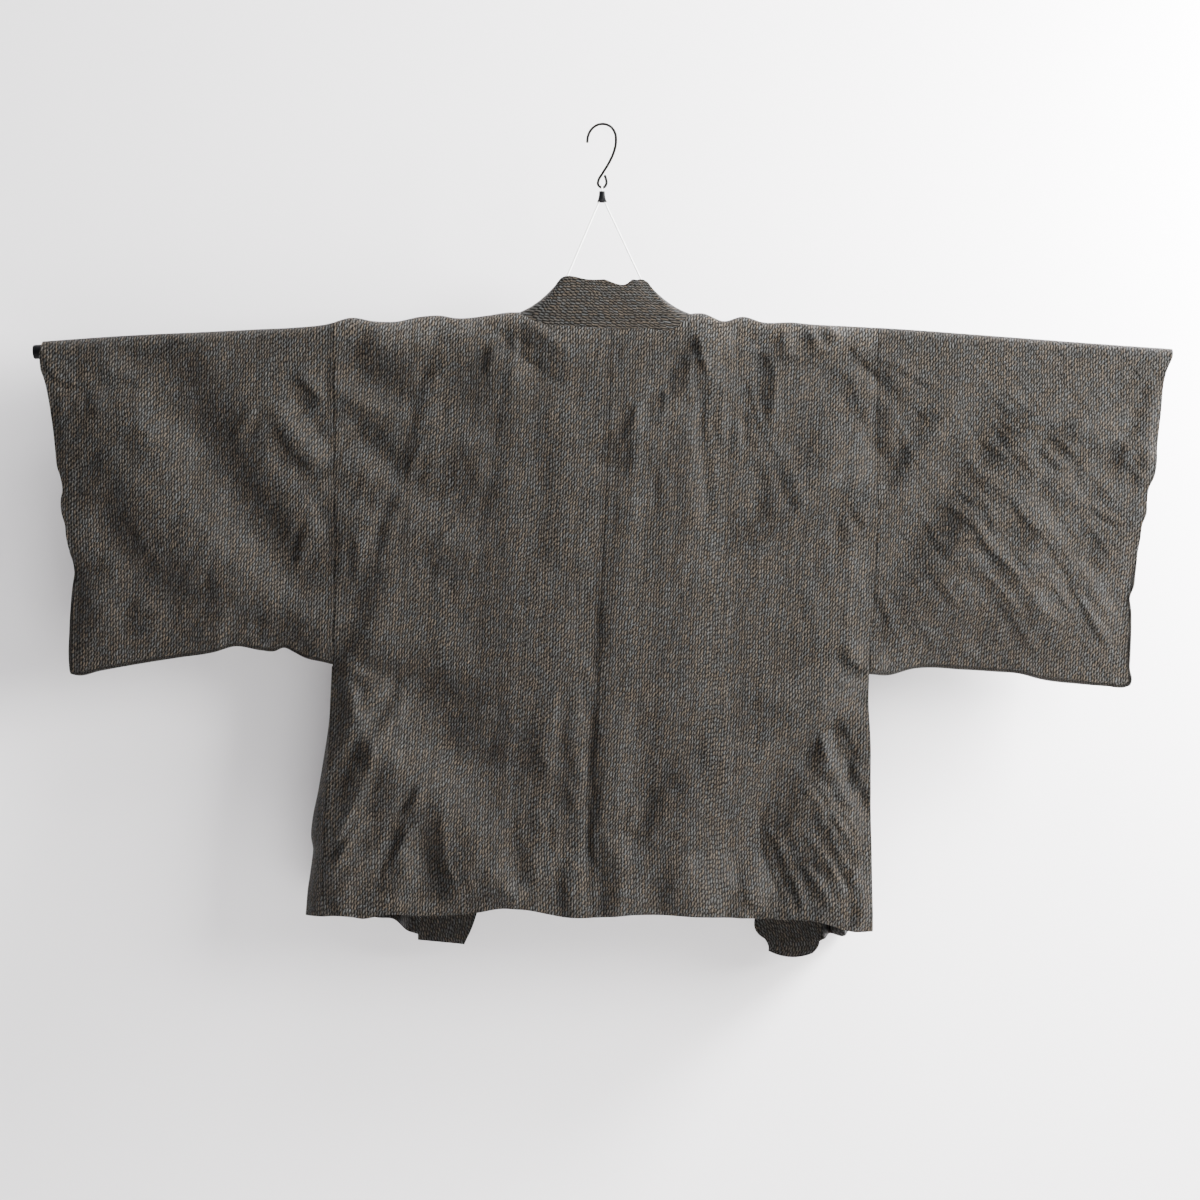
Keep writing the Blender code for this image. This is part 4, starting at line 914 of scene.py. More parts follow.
def open_edges(quads):
    """Edges that only one face uses, in that face's own order."""
    pairs = np.concatenate([quads[:, [k, (k + 1) % 4]] for k in range(4)])
    key = np.sort(pairs, axis=1)
    _, first, uses = np.unique(key, axis=0, return_index=True, return_counts=True)
    return pairs[first[uses == 1]]


def shell(name, points, quads, cut, thickness, faces_back=True):
    """A closed mesh round a sheet; points are in millimetres, cut in metres."""
    normals = sheet_normals(points, quads)
    rear = points[:, 1] < 0
    towards_rear = (normals[rear, 1] < 0).mean() > 0.5 if rear.any() else True
    if towards_rear != faces_back:
        quads = quads[:, ::-1]
        normals = -normals
    offset = normals * np.reshape(thickness, (-1, 1)) / 2
    count = len(points)
    free = open_edges(quads)
    rim = np.stack([free[:, 1], free[:, 0], free[:, 0] + count, free[:, 1] + count], axis=1)
    faces = np.vstack([quads, quads[:, ::-1] + count, rim])
    mesh = bpy.data.meshes.new(name)
    corners = np.vstack([points + offset, points - offset]) * MM
    mesh.from_pydata(corners.tolist(), [], faces.tolist())
    flat = np.vstack([cut, cut])[faces.ravel()]
    mesh.uv_layers.new(name="cut").data.foreach_set("uv", flat.ravel().astype("f"))
    mesh.shade_smooth()
    mesh.set_sharp_from_angle(angle=math.radians(60))
    piece = bpy.data.objects.new(name, mesh)
    bpy.context.scene.collection.objects.link(piece)
    print(name, len(faces) * 2, "triangles")
    return piece


# %% [markdown]
# ## A kit for shader groups
# The weave is the same on every piece of cloth, so it is built once as a group with named
# sockets. These two helpers make a socket and a small sum inside a group.


# %% Helpers for node groups
def socket(group, name, way, kind, value=None):
    made = group.interface.new_socket(name=name, in_out=way, socket_type=kind)
    if value is not None:
        made.default_value = value


def put(group, source, target):
    """Feeds a socket from another socket, or sets its number."""
    if isinstance(source, bpy.types.NodeSocket):
        group.links.new(source, target)
    else:
        target.default_value = source


def sum_of(group, operation, *values, limit=False):
    node = group.nodes.new("ShaderNodeMath")
    node.operation = operation
    node.use_clamp = limit
    for value, target in zip(values, node.inputs):
        put(group, value, target)
    return node.outputs["Value"]


def noise_of(group, vector, scale, detail=2.0, rough=0.5):
    node = group.nodes.new("ShaderNodeTexNoise")
    node.inputs["Scale"].default_value = scale
    node.inputs["Detail"].default_value = detail
    node.inputs["Roughness"].default_value = rough
    group.links.new(vector, node.inputs["Vector"])
    return node.outputs["Fac"]


def chance_of(group, first, second):
    """A steady random number for each pair of whole numbers."""
    pair = group.nodes.new("ShaderNodeCombineXYZ")
    put(group, first, pair.inputs["X"])
    put(group, second, pair.inputs["Y"])
    node = group.nodes.new("ShaderNodeTexWhiteNoise")
    node.noise_dimensions = "2D"
    group.links.new(pair.outputs["Vector"], node.inputs["Vector"])
    return node.outputs["Value"]


def step_of(group, value, start, end):
    node = group.nodes.new("ShaderNodeMapRange")
    node.interpolation_type = "SMOOTHSTEP"
    put(group, value, node.inputs["Value"])
    node.inputs["From Min"].default_value = start
    node.inputs["From Max"].default_value = end
    return node.outputs["Result"]


def blend_of(group, share, first, second):
    node = group.nodes.new("ShaderNodeMix")
    node.data_type = "RGBA"
    put(group, share, node.inputs["Factor"])
    put(group, first, node.inputs[6])
    put(group, second, node.inputs[7])
    return node.outputs[2]


# %% [markdown]
# ## The fleck weave
# The wool is woven with a pale, thick yarn that shows as rows of dashes on a dark ground. The rows
# lie three millimetres apart and a dash is some five millimetres long. Each row is shifted by its
# own amount, each dash has its own brightness and leans a little, and the rows wander because the
# yarn was spun by hand. Where the cloth turns over the bar a painted highlight makes it paler, for
# the light from above that falls on the shoulders. The group works this out from the place in the
# flat cloth, and gives a colour and a height.

# %% Fleck weave group
YARN_PITCH = 0.00305
FLECK_LENGTH = 0.0053
SLANT = 0.5
GRAIN_STRETCH = 0.5
SLOW_DRIFT, QUICK_DRIFT = 0.0040, 0.0011
ROW_SHIFT = 0.6
UNEVEN_DASHES = 1.3
ROW_EDGE, DASH_EDGE = (0.39, 0.13), (0.48, 0.22)
# The painted highlight along the fold over the bar fades out between these distances from it.
FOLD_HIGHLIGHT_BAND = (0.010, 0.045)
weave = bpy.data.node_groups.new("fleck weave", "ShaderNodeTree")
socket(weave, "Cut", "INPUT", "NodeSocketVector")
socket(weave, "Ground", "INPUT", "NodeSocketColor")
socket(weave, "Yarn", "INPUT", "NodeSocketColor")
socket(weave, "Fleck", "INPUT", "NodeSocketColor")
socket(weave, "Warm Fleck", "INPUT", "NodeSocketColor")
# How strong the painted highlight along the fold over the bar is.
socket(weave, "Fold Highlight", "INPUT", "NodeSocketFloat", 0.0)
socket(weave, "Color", "OUTPUT", "NodeSocketColor")
socket(weave, "Height", "OUTPUT", "NodeSocketFloat")
weave_in = weave.nodes.new("NodeGroupInput")
weave_out = weave.nodes.new("NodeGroupOutput")
cut_parts = weave.nodes.new("ShaderNodeSeparateXYZ")
weave.links.new(weave_in.outputs["Cut"], cut_parts.inputs["Vector"])

# %% Rows and dashes of the weave
slow_drift = sum_of(weave, "SUBTRACT", noise_of(weave, weave_in.outputs["Cut"], 22.0, 1.0), 0.5)
quick_drift = sum_of(weave, "SUBTRACT", noise_of(weave, weave_in.outputs["Cut"], 110.0, 2.0), 0.5)
drift = sum_of(weave, "MULTIPLY", quick_drift, QUICK_DRIFT)
drift = sum_of(weave, "MULTIPLY_ADD", slow_drift, SLOW_DRIFT, drift)
across = sum_of(weave, "DIVIDE", sum_of(weave, "ADD", cut_parts.outputs["X"], drift), YARN_PITCH)
row = sum_of(weave, "FLOOR", across)
row_chance = sum_of(weave, "MULTIPLY", chance_of(weave, row, 3.0), ROW_SHIFT)
stagger = sum_of(weave, "DIVIDE", cut_parts.outputs["Y"], FLECK_LENGTH)
stagger = sum_of(weave, "ADD", stagger, row_chance)
uneven = noise_of(weave, weave_in.outputs["Cut"], 120.0, 2.0)
uneven = sum_of(weave, "MULTIPLY", uneven, UNEVEN_DASHES)
stagger = sum_of(weave, "ADD", stagger, uneven)
dash = sum_of(weave, "FLOOR", stagger)
along_dash = sum_of(weave, "SUBTRACT", sum_of(weave, "SUBTRACT", stagger, dash), 0.5)
from_dash = sum_of(weave, "ABSOLUTE", along_dash)
slanted = sum_of(weave, "MULTIPLY_ADD", along_dash, SLANT, across)
from_middle = sum_of(weave, "SUBTRACT", sum_of(weave, "FRACT", slanted), 0.5)
row_mask = step_of(weave, sum_of(weave, "ABSOLUTE", from_middle), *ROW_EDGE)
dash_chance = chance_of(weave, row, dash)
dash_mask = sum_of(weave, "MULTIPLY_ADD", step_of(weave, from_dash, *DASH_EDGE), 0.5, 0.5)
bright_dash = sum_of(weave, "MULTIPLY", step_of(weave, dash_chance, 0.90, 0.98), 0.22)
dash_tone = sum_of(weave, "MULTIPLY_ADD", dash_chance, 0.22, 0.55)
dash_tone = sum_of(weave, "ADD", dash_tone, bright_dash)
long_grain = weave.nodes.new("ShaderNodeCombineXYZ")
weave.links.new(cut_parts.outputs["X"], long_grain.inputs["X"])
stretched = sum_of(weave, "MULTIPLY", cut_parts.outputs["Y"], GRAIN_STRETCH)
weave.links.new(stretched, long_grain.inputs["Y"])
grain = step_of(weave, noise_of(weave, long_grain.outputs["Vector"], 640.0, 0.0), 0.32, 0.68)
dash_tone = sum_of(weave, "MULTIPLY", dash_tone, sum_of(weave, "MULTIPLY_ADD", grain, 1.25, 0.45))
fleck_mask = sum_of(weave, "MULTIPLY", dash_mask, dash_tone)
print("rows every", YARN_PITCH, "m, dashes every", FLECK_LENGTH, "m")

# %% Colours and height of the weave
patch = noise_of(weave, weave_in.outputs["Cut"], 26.0, 3.0)
fuzz = noise_of(weave, weave_in.outputs["Cut"], 900.0, 2.0)
row_tone = sum_of(weave, "MULTIPLY_ADD", chance_of(weave, row, 11.0), 0.26, 0.74)
yarn_colour = blend_of(weave, row_mask, weave_in.outputs["Ground"], weave_in.outputs["Yarn"])
row_share = sum_of(weave, "MULTIPLY_ADD", row_mask, 0.96, 0.04)
fleck_share = sum_of(weave, "MULTIPLY", sum_of(weave, "MULTIPLY", row_share, fleck_mask), row_tone)
patchy = sum_of(weave, "SUBTRACT", noise_of(weave, weave_in.outputs["Cut"], 45.0, 2.0), 0.5)
warmth = sum_of(weave, "MULTIPLY_ADD", patchy, 0.9, chance_of(weave, dash, row))
warmth = step_of(weave, warmth, 0.0, 1.0)
fleck_colour = blend_of(weave, warmth, weave_in.outputs["Fleck"], weave_in.outputs["Warm Fleck"])
woven = blend_of(weave, fleck_share, yarn_colour, fleck_colour)
tone = sum_of(weave, "MULTIPLY_ADD", patch, 0.28, 0.66)
tone = sum_of(weave, "MULTIPLY", tone, sum_of(weave, "MULTIPLY_ADD", fuzz, 0.3, 1.05))
# A painted highlight: the tone is raised along the fold over the bar, where light from above falls.
from_fold = sum_of(weave, "ABSOLUTE", cut_parts.outputs["Y"])
at_fold = sum_of(weave, "SUBTRACT", 1.0, step_of(weave, from_fold, *FOLD_HIGHLIGHT_BAND))
fold_highlight = sum_of(weave, "MULTIPLY_ADD", at_fold, weave_in.outputs["Fold Highlight"], 1.0)
tone = sum_of(weave, "MULTIPLY", tone, fold_highlight)
toned = weave.nodes.new("ShaderNodeVectorMath")
toned.operation = "SCALE"
weave.links.new(woven, toned.inputs[0])
weave.links.new(tone, toned.inputs["Scale"])
weave.links.new(toned.outputs["Vector"], weave_out.inputs["Color"])
lift = sum_of(weave, "MULTIPLY", row_mask, sum_of(weave, "MULTIPLY_ADD", fleck_mask, 0.5, 0.5))
lift = sum_of(weave, "ADD", lift, sum_of(weave, "MULTIPLY", fuzz, 0.35))
weave.links.new(lift, weave_out.inputs["Height"])


# %% [markdown]
# ## Fine wrinkles
# Between the listed creases, worn wool keeps a host of small wrinkles, too fine
# for the mesh. They are a stretched noise: narrow across and long down the cloth, or leaning, in
# the sleeves, the way the weight pulls. The group gives only a height, which joins the weave's.

# %% Fine wrinkles group
wrinkles = bpy.data.node_groups.new("fine wrinkles", "ShaderNodeTree")
socket(wrinkles, "Cut", "INPUT", "NodeSocketVector")
socket(wrinkles, "Lean", "INPUT", "NodeSocketFloat", 0.0)
socket(wrinkles, "Height", "OUTPUT", "NodeSocketFloat")
wrinkles_in = wrinkles.nodes.new("NodeGroupInput")
wrinkles_out = wrinkles.nodes.new("NodeGroupOutput")
spot = wrinkles.nodes.new("ShaderNodeSeparateXYZ")
wrinkles.links.new(wrinkles_in.outputs["Cut"], spot.inputs["Vector"])
leaning = sum_of(wrinkles, "MULTIPLY", spot.outputs["Y"], wrinkles_in.outputs["Lean"])
sideways = sum_of(wrinkles, "SUBTRACT", spot.outputs["X"], leaning)


def stretched_noise(scale_across, scale_down, detail):
    place = wrinkles.nodes.new("ShaderNodeCombineXYZ")
    put(wrinkles, sum_of(wrinkles, "MULTIPLY", sideways, scale_across), place.inputs["X"])
    put(wrinkles, sum_of(wrinkles, "MULTIPLY", spot.outputs["Y"], scale_down), place.inputs["Y"])
    return noise_of(wrinkles, place.outputs["Vector"], 1.0, detail)


broad_wrinkles = stretched_noise(70.0, 12.0, 2.0)
small_wrinkles = stretched_noise(165.0, 30.0, 2.0)
both = sum_of(wrinkles, "MULTIPLY_ADD", small_wrinkles, 0.45, broad_wrinkles)
wrinkles.links.new(both, wrinkles_out.inputs["Height"])

# %% [markdown]
# ## Finishes
# The cloth is matt, so it gets a middling roughness and hardly any gloss. The collar is the same
# cloth pressed double, with paler ground yarn. The wrong side is duller than the face, and its
# darker colour is also painted shade for the fronts' lower parts, which hang in shade. Each sleeve
# has a finish of its own only because its fine wrinkles lean another way. The hanger is plain: a
# dark wire, black plastic and a white cotton cord. Wire and caps have a very low gloss, since a
# thin shiny thing would mirror the pale room and look white.


# %% Cloth material
WEAVE_LIFT, WRINKLE_LIFT = 0.0005, 0.0023
WARMER = (1.26, 0.98, 0.74)


def cloth_finish(name, ground, yarn, fleck, lean=0.0, fold_highlight=0.0):
    finish, tree, shader = new_finish(name, {"Roughness": 0.55, "Specular IOR Level": 0.12})
    place = tree.nodes.new("ShaderNodeUVMap")
    place.uv_map = "cut"
    fabric = tree.nodes.new("ShaderNodeGroup")
    fabric.node_tree = weave
    warm_fleck = tuple(tone * share for tone, share in zip(fleck, WARMER))
    colours = {"Ground": ground, "Yarn": yarn, "Fleck": fleck, "Warm Fleck": warm_fleck}
    for setting, colour in colours.items():
        fabric.inputs[setting].default_value = (*colour, 1.0)
    fabric.inputs["Fold Highlight"].default_value = fold_highlight
    raised = tree.nodes.new("ShaderNodeBump")
    raised.inputs["Distance"].default_value = WEAVE_LIFT
    worn = tree.nodes.new("ShaderNodeGroup")
    worn.node_tree = wrinkles
    worn.inputs["Lean"].default_value = lean
    waved = tree.nodes.new("ShaderNodeBump")
    waved.inputs["Distance"].default_value = WRINKLE_LIFT
    tree.links.new(place.outputs["UV"], worn.inputs["Cut"])
    tree.links.new(worn.outputs["Height"], waved.inputs["Height"])
    tree.links.new(waved.outputs["Normal"], raised.inputs["Normal"])
    tree.links.new(place.outputs["UV"], fabric.inputs["Cut"])
    tree.links.new(fabric.outputs["Color"], shader.inputs["Base Color"])
    tree.links.new(fabric.outputs["Height"], raised.inputs["Height"])
    tree.links.new(raised.outputs["Normal"], shader.inputs["Normal"])
    return finish


GROUND = (0.0030, 0.0026, 0.0022)
YARN = (0.0125, 0.0110, 0.0093)
FLECK = (0.078, 0.081, 0.081)
# The body's cloth carries the painted highlight along its fold over the bar.
haori_cloth = cloth_finish("fleck wool", GROUND, YARN, FLECK, fold_highlight=0.6)
left_sleeve_cloth = cloth_finish("fleck wool, left sleeve", GROUND, YARN, FLECK, lean=-0.5)
right_sleeve_cloth = cloth_finish("fleck wool, right sleeve", GROUND, YARN, FLECK, lean=0.8)


def times(share, colour):
    return tuple(share * tone for tone in colour)


collar_cloth = cloth_finish("collar wool", GROUND, times(1.7, YARN), times(0.95, FLECK))
# The wrong side is darker partly as painted shade, for the fronts that hang in shade below the hem.
wrong_side_and_shade_cloth = cloth_finish(
    "fleck wool, wrong side and painted shade", GROUND, times(0.8, YARN), times(0.72, FLECK)
)
print("cloths:", haori_cloth.name, "and", collar_cloth.name)


# %% Plain finishes
def plain_finish(name, colour, roughness, grain, grain_scale=900.0, gloss=0.5):
    settings = {"Base Color": (*colour, 1.0), "Roughness": roughness, "Specular IOR Level": gloss}
    finish, tree, shader = new_finish(name, settings)
    place = tree.nodes.new("ShaderNodeTexCoord")
    speckle = tree.nodes.new("ShaderNodeTexNoise")
    speckle.inputs["Scale"].default_value = grain_scale
    raised = tree.nodes.new("ShaderNodeBump")
    raised.inputs["Distance"].default_value = grain
    tree.links.new(place.outputs["Object"], speckle.inputs["Vector"])
    tree.links.new(speckle.outputs["Fac"], raised.inputs["Height"])
    tree.links.new(raised.outputs["Normal"], shader.inputs["Normal"])
    return finish


dark_wire = plain_finish("dark plated wire", (0.010, 0.009, 0.008), 0.45, 0.00002, 1400.0, 0.06)
black_plastic = plain_finish("black plastic", (0.004, 0.004, 0.005), 0.4, 0.00003, gloss=0.12)
bar_plastic = plain_finish("satin bar plastic", (0.045, 0.045, 0.05), 0.42, 0.00003)
white_cord = plain_finish("white cotton cord", (0.90, 0.895, 0.88), 0.85, 0.0001, 2600.0)
print("plain finishes:", dark_wire.name, black_plastic.name, bar_plastic.name, white_cord.name)

# %% [markdown]
# ## Body panels
# Each panel is one grid over the back and one down the front, joined along the shoulder. Beside
# the neck hole the back has its own top edge. The columns crowd together next to each seam, so
# that the turn into the seam is round.

# %% Stops across and down
BESIDE_SEAM = (0.0, 0.5, 1.2, 2.2)
NOMINAL_QUARTER = 17.0


def stops(start, end, count, width):
    """Even shares of a width, with extra ones close to the ends that are sewn."""
    even = np.linspace(0, 1, count + 1)
    near = np.array(BESIDE_SEAM[1:]) / width
    shares = [even[1:-1]]
    shares.append(near if start else [])
    shares.append(1 - near if end else [])
    middle = np.sort(np.concatenate(shares))
    return np.concatenate([[0.0], middle, [1.0]])


def rows_down(turn_rows, rows, length):
    first = np.linspace(0, NOMINAL_QUARTER / length, turn_rows + 1)
    rest = np.linspace(NOMINAL_QUARTER / length, 1, rows + 1)
    return np.concatenate([first, rest[1:]])


# %% Build the body panels
NECK_COLUMNS, SHOULDER_COLUMNS = 34, 80
BACK_ROWS, FRONT_ROWS = (9, 250), (9, 140)
BODY_WIDTH = 310.0


def neck_share_of(half):
    centre = back_across(half, 0.0, NECK_LINE)
    side = back_across(half, 1.0, NECK_LINE)
    edge = half.neck_x + math.copysign(NECK_SEAM, half.neck_x)
    return float((edge - centre) / (side - centre))


def body_panel(name, half):
    neck_share = neck_share_of(half)
    neck = neck_share * stops(True, False, NECK_COLUMNS, BODY_WIDTH * neck_share)
    shoulder_width = BODY_WIDTH * (1 - neck_share)
    over = stops(True, True, SHOULDER_COLUMNS, shoulder_width)
    shares = np.concatenate([neck, neck_share + (1 - neck_share) * over[1:]])
    down = rows_down(*BACK_ROWS, BODY_DROP)[:, None]
    back, back_cut = back_point(half, shares[None, :], down)
    front_down = rows_down(*FRONT_ROWS, BODY_DROP)[1:, None]
    front, front_cut = front_point(half, over[None, :], front_down)
    back, front = stacked(*back), stacked(*front)
    back_index = np.arange(len(back)).reshape(len(down), -1)
    front_index = len(back) + np.arange(len(front)).reshape(len(front_down), -1)
    front_index = np.vstack([back_index[0, len(neck) - 1 :], front_index])
    quads = np.vstack([grid_quads(back_index), grid_quads(front_index)[:, ::-1]])
    cut = np.vstack([stacked(*back_cut), stacked(*front_cut)]) * MM
    return shell(name, np.vstack([back, front]), quads, cut, VISIBLE_CLOTH)


panel_left = body_panel("body_back_and_front_left", LEFT)
panel_right = body_panel("body_back_and_front_right", RIGHT)

# %% [markdown]
# ## Sleeves
# The back and the front of a sleeve are one sheet over the bar. Along the bottom and up the sewn
# part of the cuff they meet in a round turn, made from a few points on an arc between them.

# %% Build the sleeves
SLEEVE_COLUMNS = 108
SLEEVE_BACK_ROWS, SLEEVE_FRONT_ROWS = (9, 136), (9, 136)
SLEEVE_WIDTH = 300.0
ROLL_STEPS = 3


def sleeve_piece(name, sleeve):
    shares = stops(True, False, SLEEVE_COLUMNS, SLEEVE_WIDTH)[None, :]
    down = rows_down(*SLEEVE_BACK_ROWS, SLEEVE_DROP)[:, None]
    back, back_cut = sleeve_point(sleeve, shares, down, -1)
    front, front_cut = sleeve_point(sleeve, shares, down[1:], 1)
    back, front = stacked(*back), stacked(*front)
    back_index = np.arange(len(back)).reshape(len(down), -1)
    front_index = len(back) + np.arange(len(front)).reshape(len(down) - 1, -1)
    front_index = np.vstack([back_index[0], front_index])
    points = np.vstack([back, front])
    cut = np.vstack([stacked(*back_cut), stacked(*front_cut)]) * MM
    first_closed = int(np.searchsorted(down[:, 0] * SLEEVE_DROP, CUFF_OPENING + 5))
    bottom, _ = sleeve_point(sleeve, shares, np.ones((1, 1)), 0)
    edge, _ = sleeve_point(sleeve, np.ones((1, 1)), down[first_closed:-1], 0)
    roll = np.vstack([stacked(*edge), stacked(*bottom)[::-1]])
    back_edge = np.concatenate([back_index[first_closed:-1, -1], back_index[-1, ::-1]])
    front_edge = np.concatenate([front_index[first_closed:-1, -1], front_index[-1, ::-1]])
    quads = [grid_quads(back_index), grid_quads(front_index)[:, ::-1]]
    lines = [back_edge]
    middle = (points[back_edge] + points[front_edge]) / 2
    for step in range(1, 2 * ROLL_STEPS):
        angle = math.pi * step / (2 * ROLL_STEPS)
        near = points[back_edge] if angle <= math.pi / 2 else points[front_edge]
        arc = middle + (near - middle) * abs(math.cos(angle)) + (roll - middle) * math.sin(angle)
        lines.append(len(points) + np.arange(len(arc)))
        points = np.vstack([points, arc])
        share = step / (2 * ROLL_STEPS)
        cut = np.vstack([cut, cut[back_edge] * (1 - share) + cut[front_edge] * share])
    lines.append(front_edge)
    quads.append(grid_quads(np.vstack(lines)))
    return shell(name, points, np.vstack(quads), cut, VISIBLE_CLOTH)


sleeve_left = sleeve_piece("sleeve_cloth_left", SLEEVE_LEFT)
sleeve_right = sleeve_piece("sleeve_cloth_right", SLEEVE_RIGHT)

# %% [markdown]
# ## Side gussets
# Between back and front there is a narrow wedge of the same cloth, folded along its middle. On
# the left it stands out past the seam and on the right it is tucked in behind it.

# %% Build the gussets
GUSSET_SEAM = 0.15
GUSSET_ROWS, GUSSET_COLUMNS = 110, 12


def gusset(name, half):
    points, cut = [], []
    shares = np.linspace(0, 1, GUSSET_COLUMNS + 1)
    for z in np.linspace(half.gusset_top, half.gusset_hem, GUSSET_ROWS + 1):
        seam_x = float(along(half.side_seam, z))
        below = bar_height(seam_x) - z
        depth = CLOTH_RADIUS + float(side_depth(below))
        spot = np.array([seam_x]), np.array([z])
        back_y = -(depth + float(pushed(BACK_CREASES, BACK_WAVES, *spot, below)[0]))
        front_y = depth + float(pushed(FRONT_CREASES, FRONT_WAVES, *spot, below)[0])
        fold_x = float(along(half.gusset_fold, z))
        pull = np.array([2 * fold_x - seam_x, (back_y + front_y) / 2])
        back, front = np.array([seam_x, back_y]), np.array([seam_x, front_y])
        leg = np.linalg.norm(pull - back)
        turn = math.acos(min(abs(pull[0] - back[0]) / leg, 1))
        start = (GUSSET_SEAM + VISIBLE_CLOTH / 2 * math.tan(turn / 2)) / (2 * leg)
        for share in start + (1 - 2 * start) * shares:
            x, y = back * (1 - share) ** 2 + pull * 2 * share * (1 - share) + front * share**2
            points.append((x, y, z))
            cut.append((2 * leg * share * MM, z * MM))
    quads = grid_quads(np.arange(len(points)).reshape(GUSSET_ROWS + 1, -1))
    return shell(name, np.array(points), quads, np.array(cut), VISIBLE_CLOTH)


gusset_left = gusset("gusset_cloth_left", LEFT)
gusset_right = gusset("gusset_cloth_right", RIGHT)

# %% [markdown]
# ## Collar band
# One long strip, folded double, goes from hem to hem round the back of the neck. There it stands
# up off its seam, and its top edge is uneven because nothing holds it. The first column of each
# table is 0 at the centre back, 1 at the neck point, then 1 more for each 100 mm of front.

# %% Collar sizes
COLLAR_CLOTH = 2.6
COLLAR_TURN = 100.0
NECK_SEAM_LINE = -226.7
COLLAR_BELOW_HEM = (6.5, 14.0)
COLLAR_DRAWN_IN = (0.0, 8.0)
COLLAR_END = 0.01
Lean = namedtuple("Lean", "place across out up bow")
COLLAR_LEFT = (
    Lean(0.00, -8, -2.0, 54.5, 0), Lean(0.40, 13, -2.0, 52.5, 0), Lean(0.72, 20, -1.5, 53.0, -0.5),
    Lean(0.86, 28, 1.0, 43.0, -2), Lean(1.00, 41.0, 0.0, 32.0, -4), Lean(1.10, 46, 1.0, 25.0, -3.5),
    Lean(1.22, 51, 1.5, 18.0, -2), Lean(1.45, 55, 1.0, 9.0, -1), Lean(1.80, 58, 1.0, 1.0, 0),
    Lean(2.40, 59, 2.0, -4.0, 0), Lean(5.00, 61, 4.0, -7.0, 0), Lean(7.60, 63.5, 4.0, -5.5, 0),
    Lean(7.98, 55.5, 4.0, -5.5, 0), Lean(8.05, 52.5, 4.0, -5.5, 0),
)
COLLAR_RIGHT = (
    Lean(0.00, -8, -2.0, 54.5, 0), Lean(0.25, -10, -2.0, 48.3, 0), Lean(0.55, -22, -2.0, 54.6, 0),
    Lean(0.86, -37, 1.0, 50.5, -2), Lean(1.00, -41.4, 0.0, 28.0, -3.5),
    Lean(1.10, -46, 1.0, 22.5, -3),
    Lean(1.22, -51, 1.5, 17.0, -2), Lean(1.45, -55, 1.0, 9.0, -1), Lean(1.80, -58, 1.0, 1.0, 0),
    Lean(2.40, -59, 2.0, -8.0, 0), Lean(5.00, -62, 4.0, -12.0, 0), Lean(7.60, -64.5, 4.0, 0.0, 0),
    Lean(7.99, -61.5, 4.0, 2.0, 0), Lean(8.06, -49.5, 4.0, 2.5, -6),
)


def collar_across(half, place, sewn, shares):
    """Points across the band from its sewn edge to its free edge."""
    table = np.array(COLLAR_LEFT if half is LEFT else COLLAR_RIGHT, float)
    *lean, bow = [along(table[:, [0, column]], place) for column in (1, 2, 3, 4)]
    points = sewn + np.array(lean) * shares[:, None]
    points[:, 2] += bow * 4 * shares * (1 - shares)
    return points


def collar_on_neck(half, share, across):
    x = along(CENTRE_BACK, NECK_SEAM_LINE) * (1 - share) + half.neck_x * share
    reach, z, _ = over_bar(x, neck_start(x) - NECK_SEAM)
    sewn = np.array([float(x), -float(reach), float(z)])
    return collar_across(half, share, sewn, across)


def collar_on_front(half, down, across):
    """The band beside the front's edge, down from shoulder to hem; past 1 is below the hem."""
    x = half.neck_x
    for _ in range(5):
        end = quarter_turn(x) + bar_height(x) - along(half.front_hem, x)
        reach, z, below = over_bar(x, end * min(down, 1.0))
        x = along(half.front_edge, z) - math.copysign(EDGE_SEAM, half.neck_x)
    y = front_reach(half, 0.0, np.array([x]), reach, np.array([z]), below)[0]
    past = max(down - 1, 0.0) / COLLAR_END
    lower = COLLAR_BELOW_HEM[half is RIGHT] * past
    drawn_in = math.copysign(COLLAR_DRAWN_IN[half is RIGHT] * past**2, half.neck_x)
    sewn = np.array([float(x) - drawn_in, float(y), float(z) - lower])
    return collar_across(half, 1 + end * down / COLLAR_TURN, sewn, across)


# %% Build the collar
COLLAR_COLUMNS = 20
NECK_STATIONS = 60
FRONT_STATIONS = (9, 190)


def collar_band():
    shares = np.linspace(0, 1, NECK_STATIONS + 1)
    past_hem = [1 + COLLAR_END * past for past in (0.3, 0.6, 0.8, 1.0)]
    downs = np.append(rows_down(*FRONT_STATIONS, BODY_DROP)[1:], past_hem)
    across = np.linspace(0, 1, COLLAR_COLUMNS + 1)
    rows = [collar_on_front(LEFT, down, across) for down in downs[::-1]]
    rows += [collar_on_neck(LEFT, share, across) for share in shares[::-1]]
    rows += [collar_on_neck(RIGHT, share, across) for share in shares[1:]]
    rows += [collar_on_front(RIGHT, down, across) for down in downs]
    points = np.array(rows)
    steps = np.linalg.norm(np.diff(points, axis=0), axis=2).mean(axis=1)
    length = np.concatenate([[0], np.cumsum(steps)])
    width = np.linalg.norm(points[:, -1] - points[:, 0], axis=1)
    neck = np.abs(np.arange(len(rows)) - (len(rows) - 1) / 2) < NECK_STATIONS
    level = points[:, :, 2] - NECK_SEAM_LINE
    from_edge = np.where(neck[:, None], level, across[None, :] * width[:, None])
    cut = stacked(from_edge, length[:, None]) * MM
    wave = puckers(BACK_WAVES, length[:, None] * 0.8, across[None, :] * 60)
    wave = 0.7 * wave * np.sin(math.pi * across * 0.5)[None, :]
    points[:, :, 1] += wave * np.where(neck, 1, 0.6)[:, None]
    quads = grid_quads(np.arange(points[..., 0].size).reshape(len(rows), -1))
    print("collar", round(float(length[-1])), "mm long")
    return shell("collar_cloth_band", points.reshape(-1, 3), quads, cut, COLLAR_CLOTH)


collar = collar_band()

# %% [markdown]
# ## Rods, cords and turned parts
# The hanger's parts are all swept or turned. A rod is a ring of points carried along a route,
# and a turned part is a profile carried round an axis. Both end in a flat fan of faces.



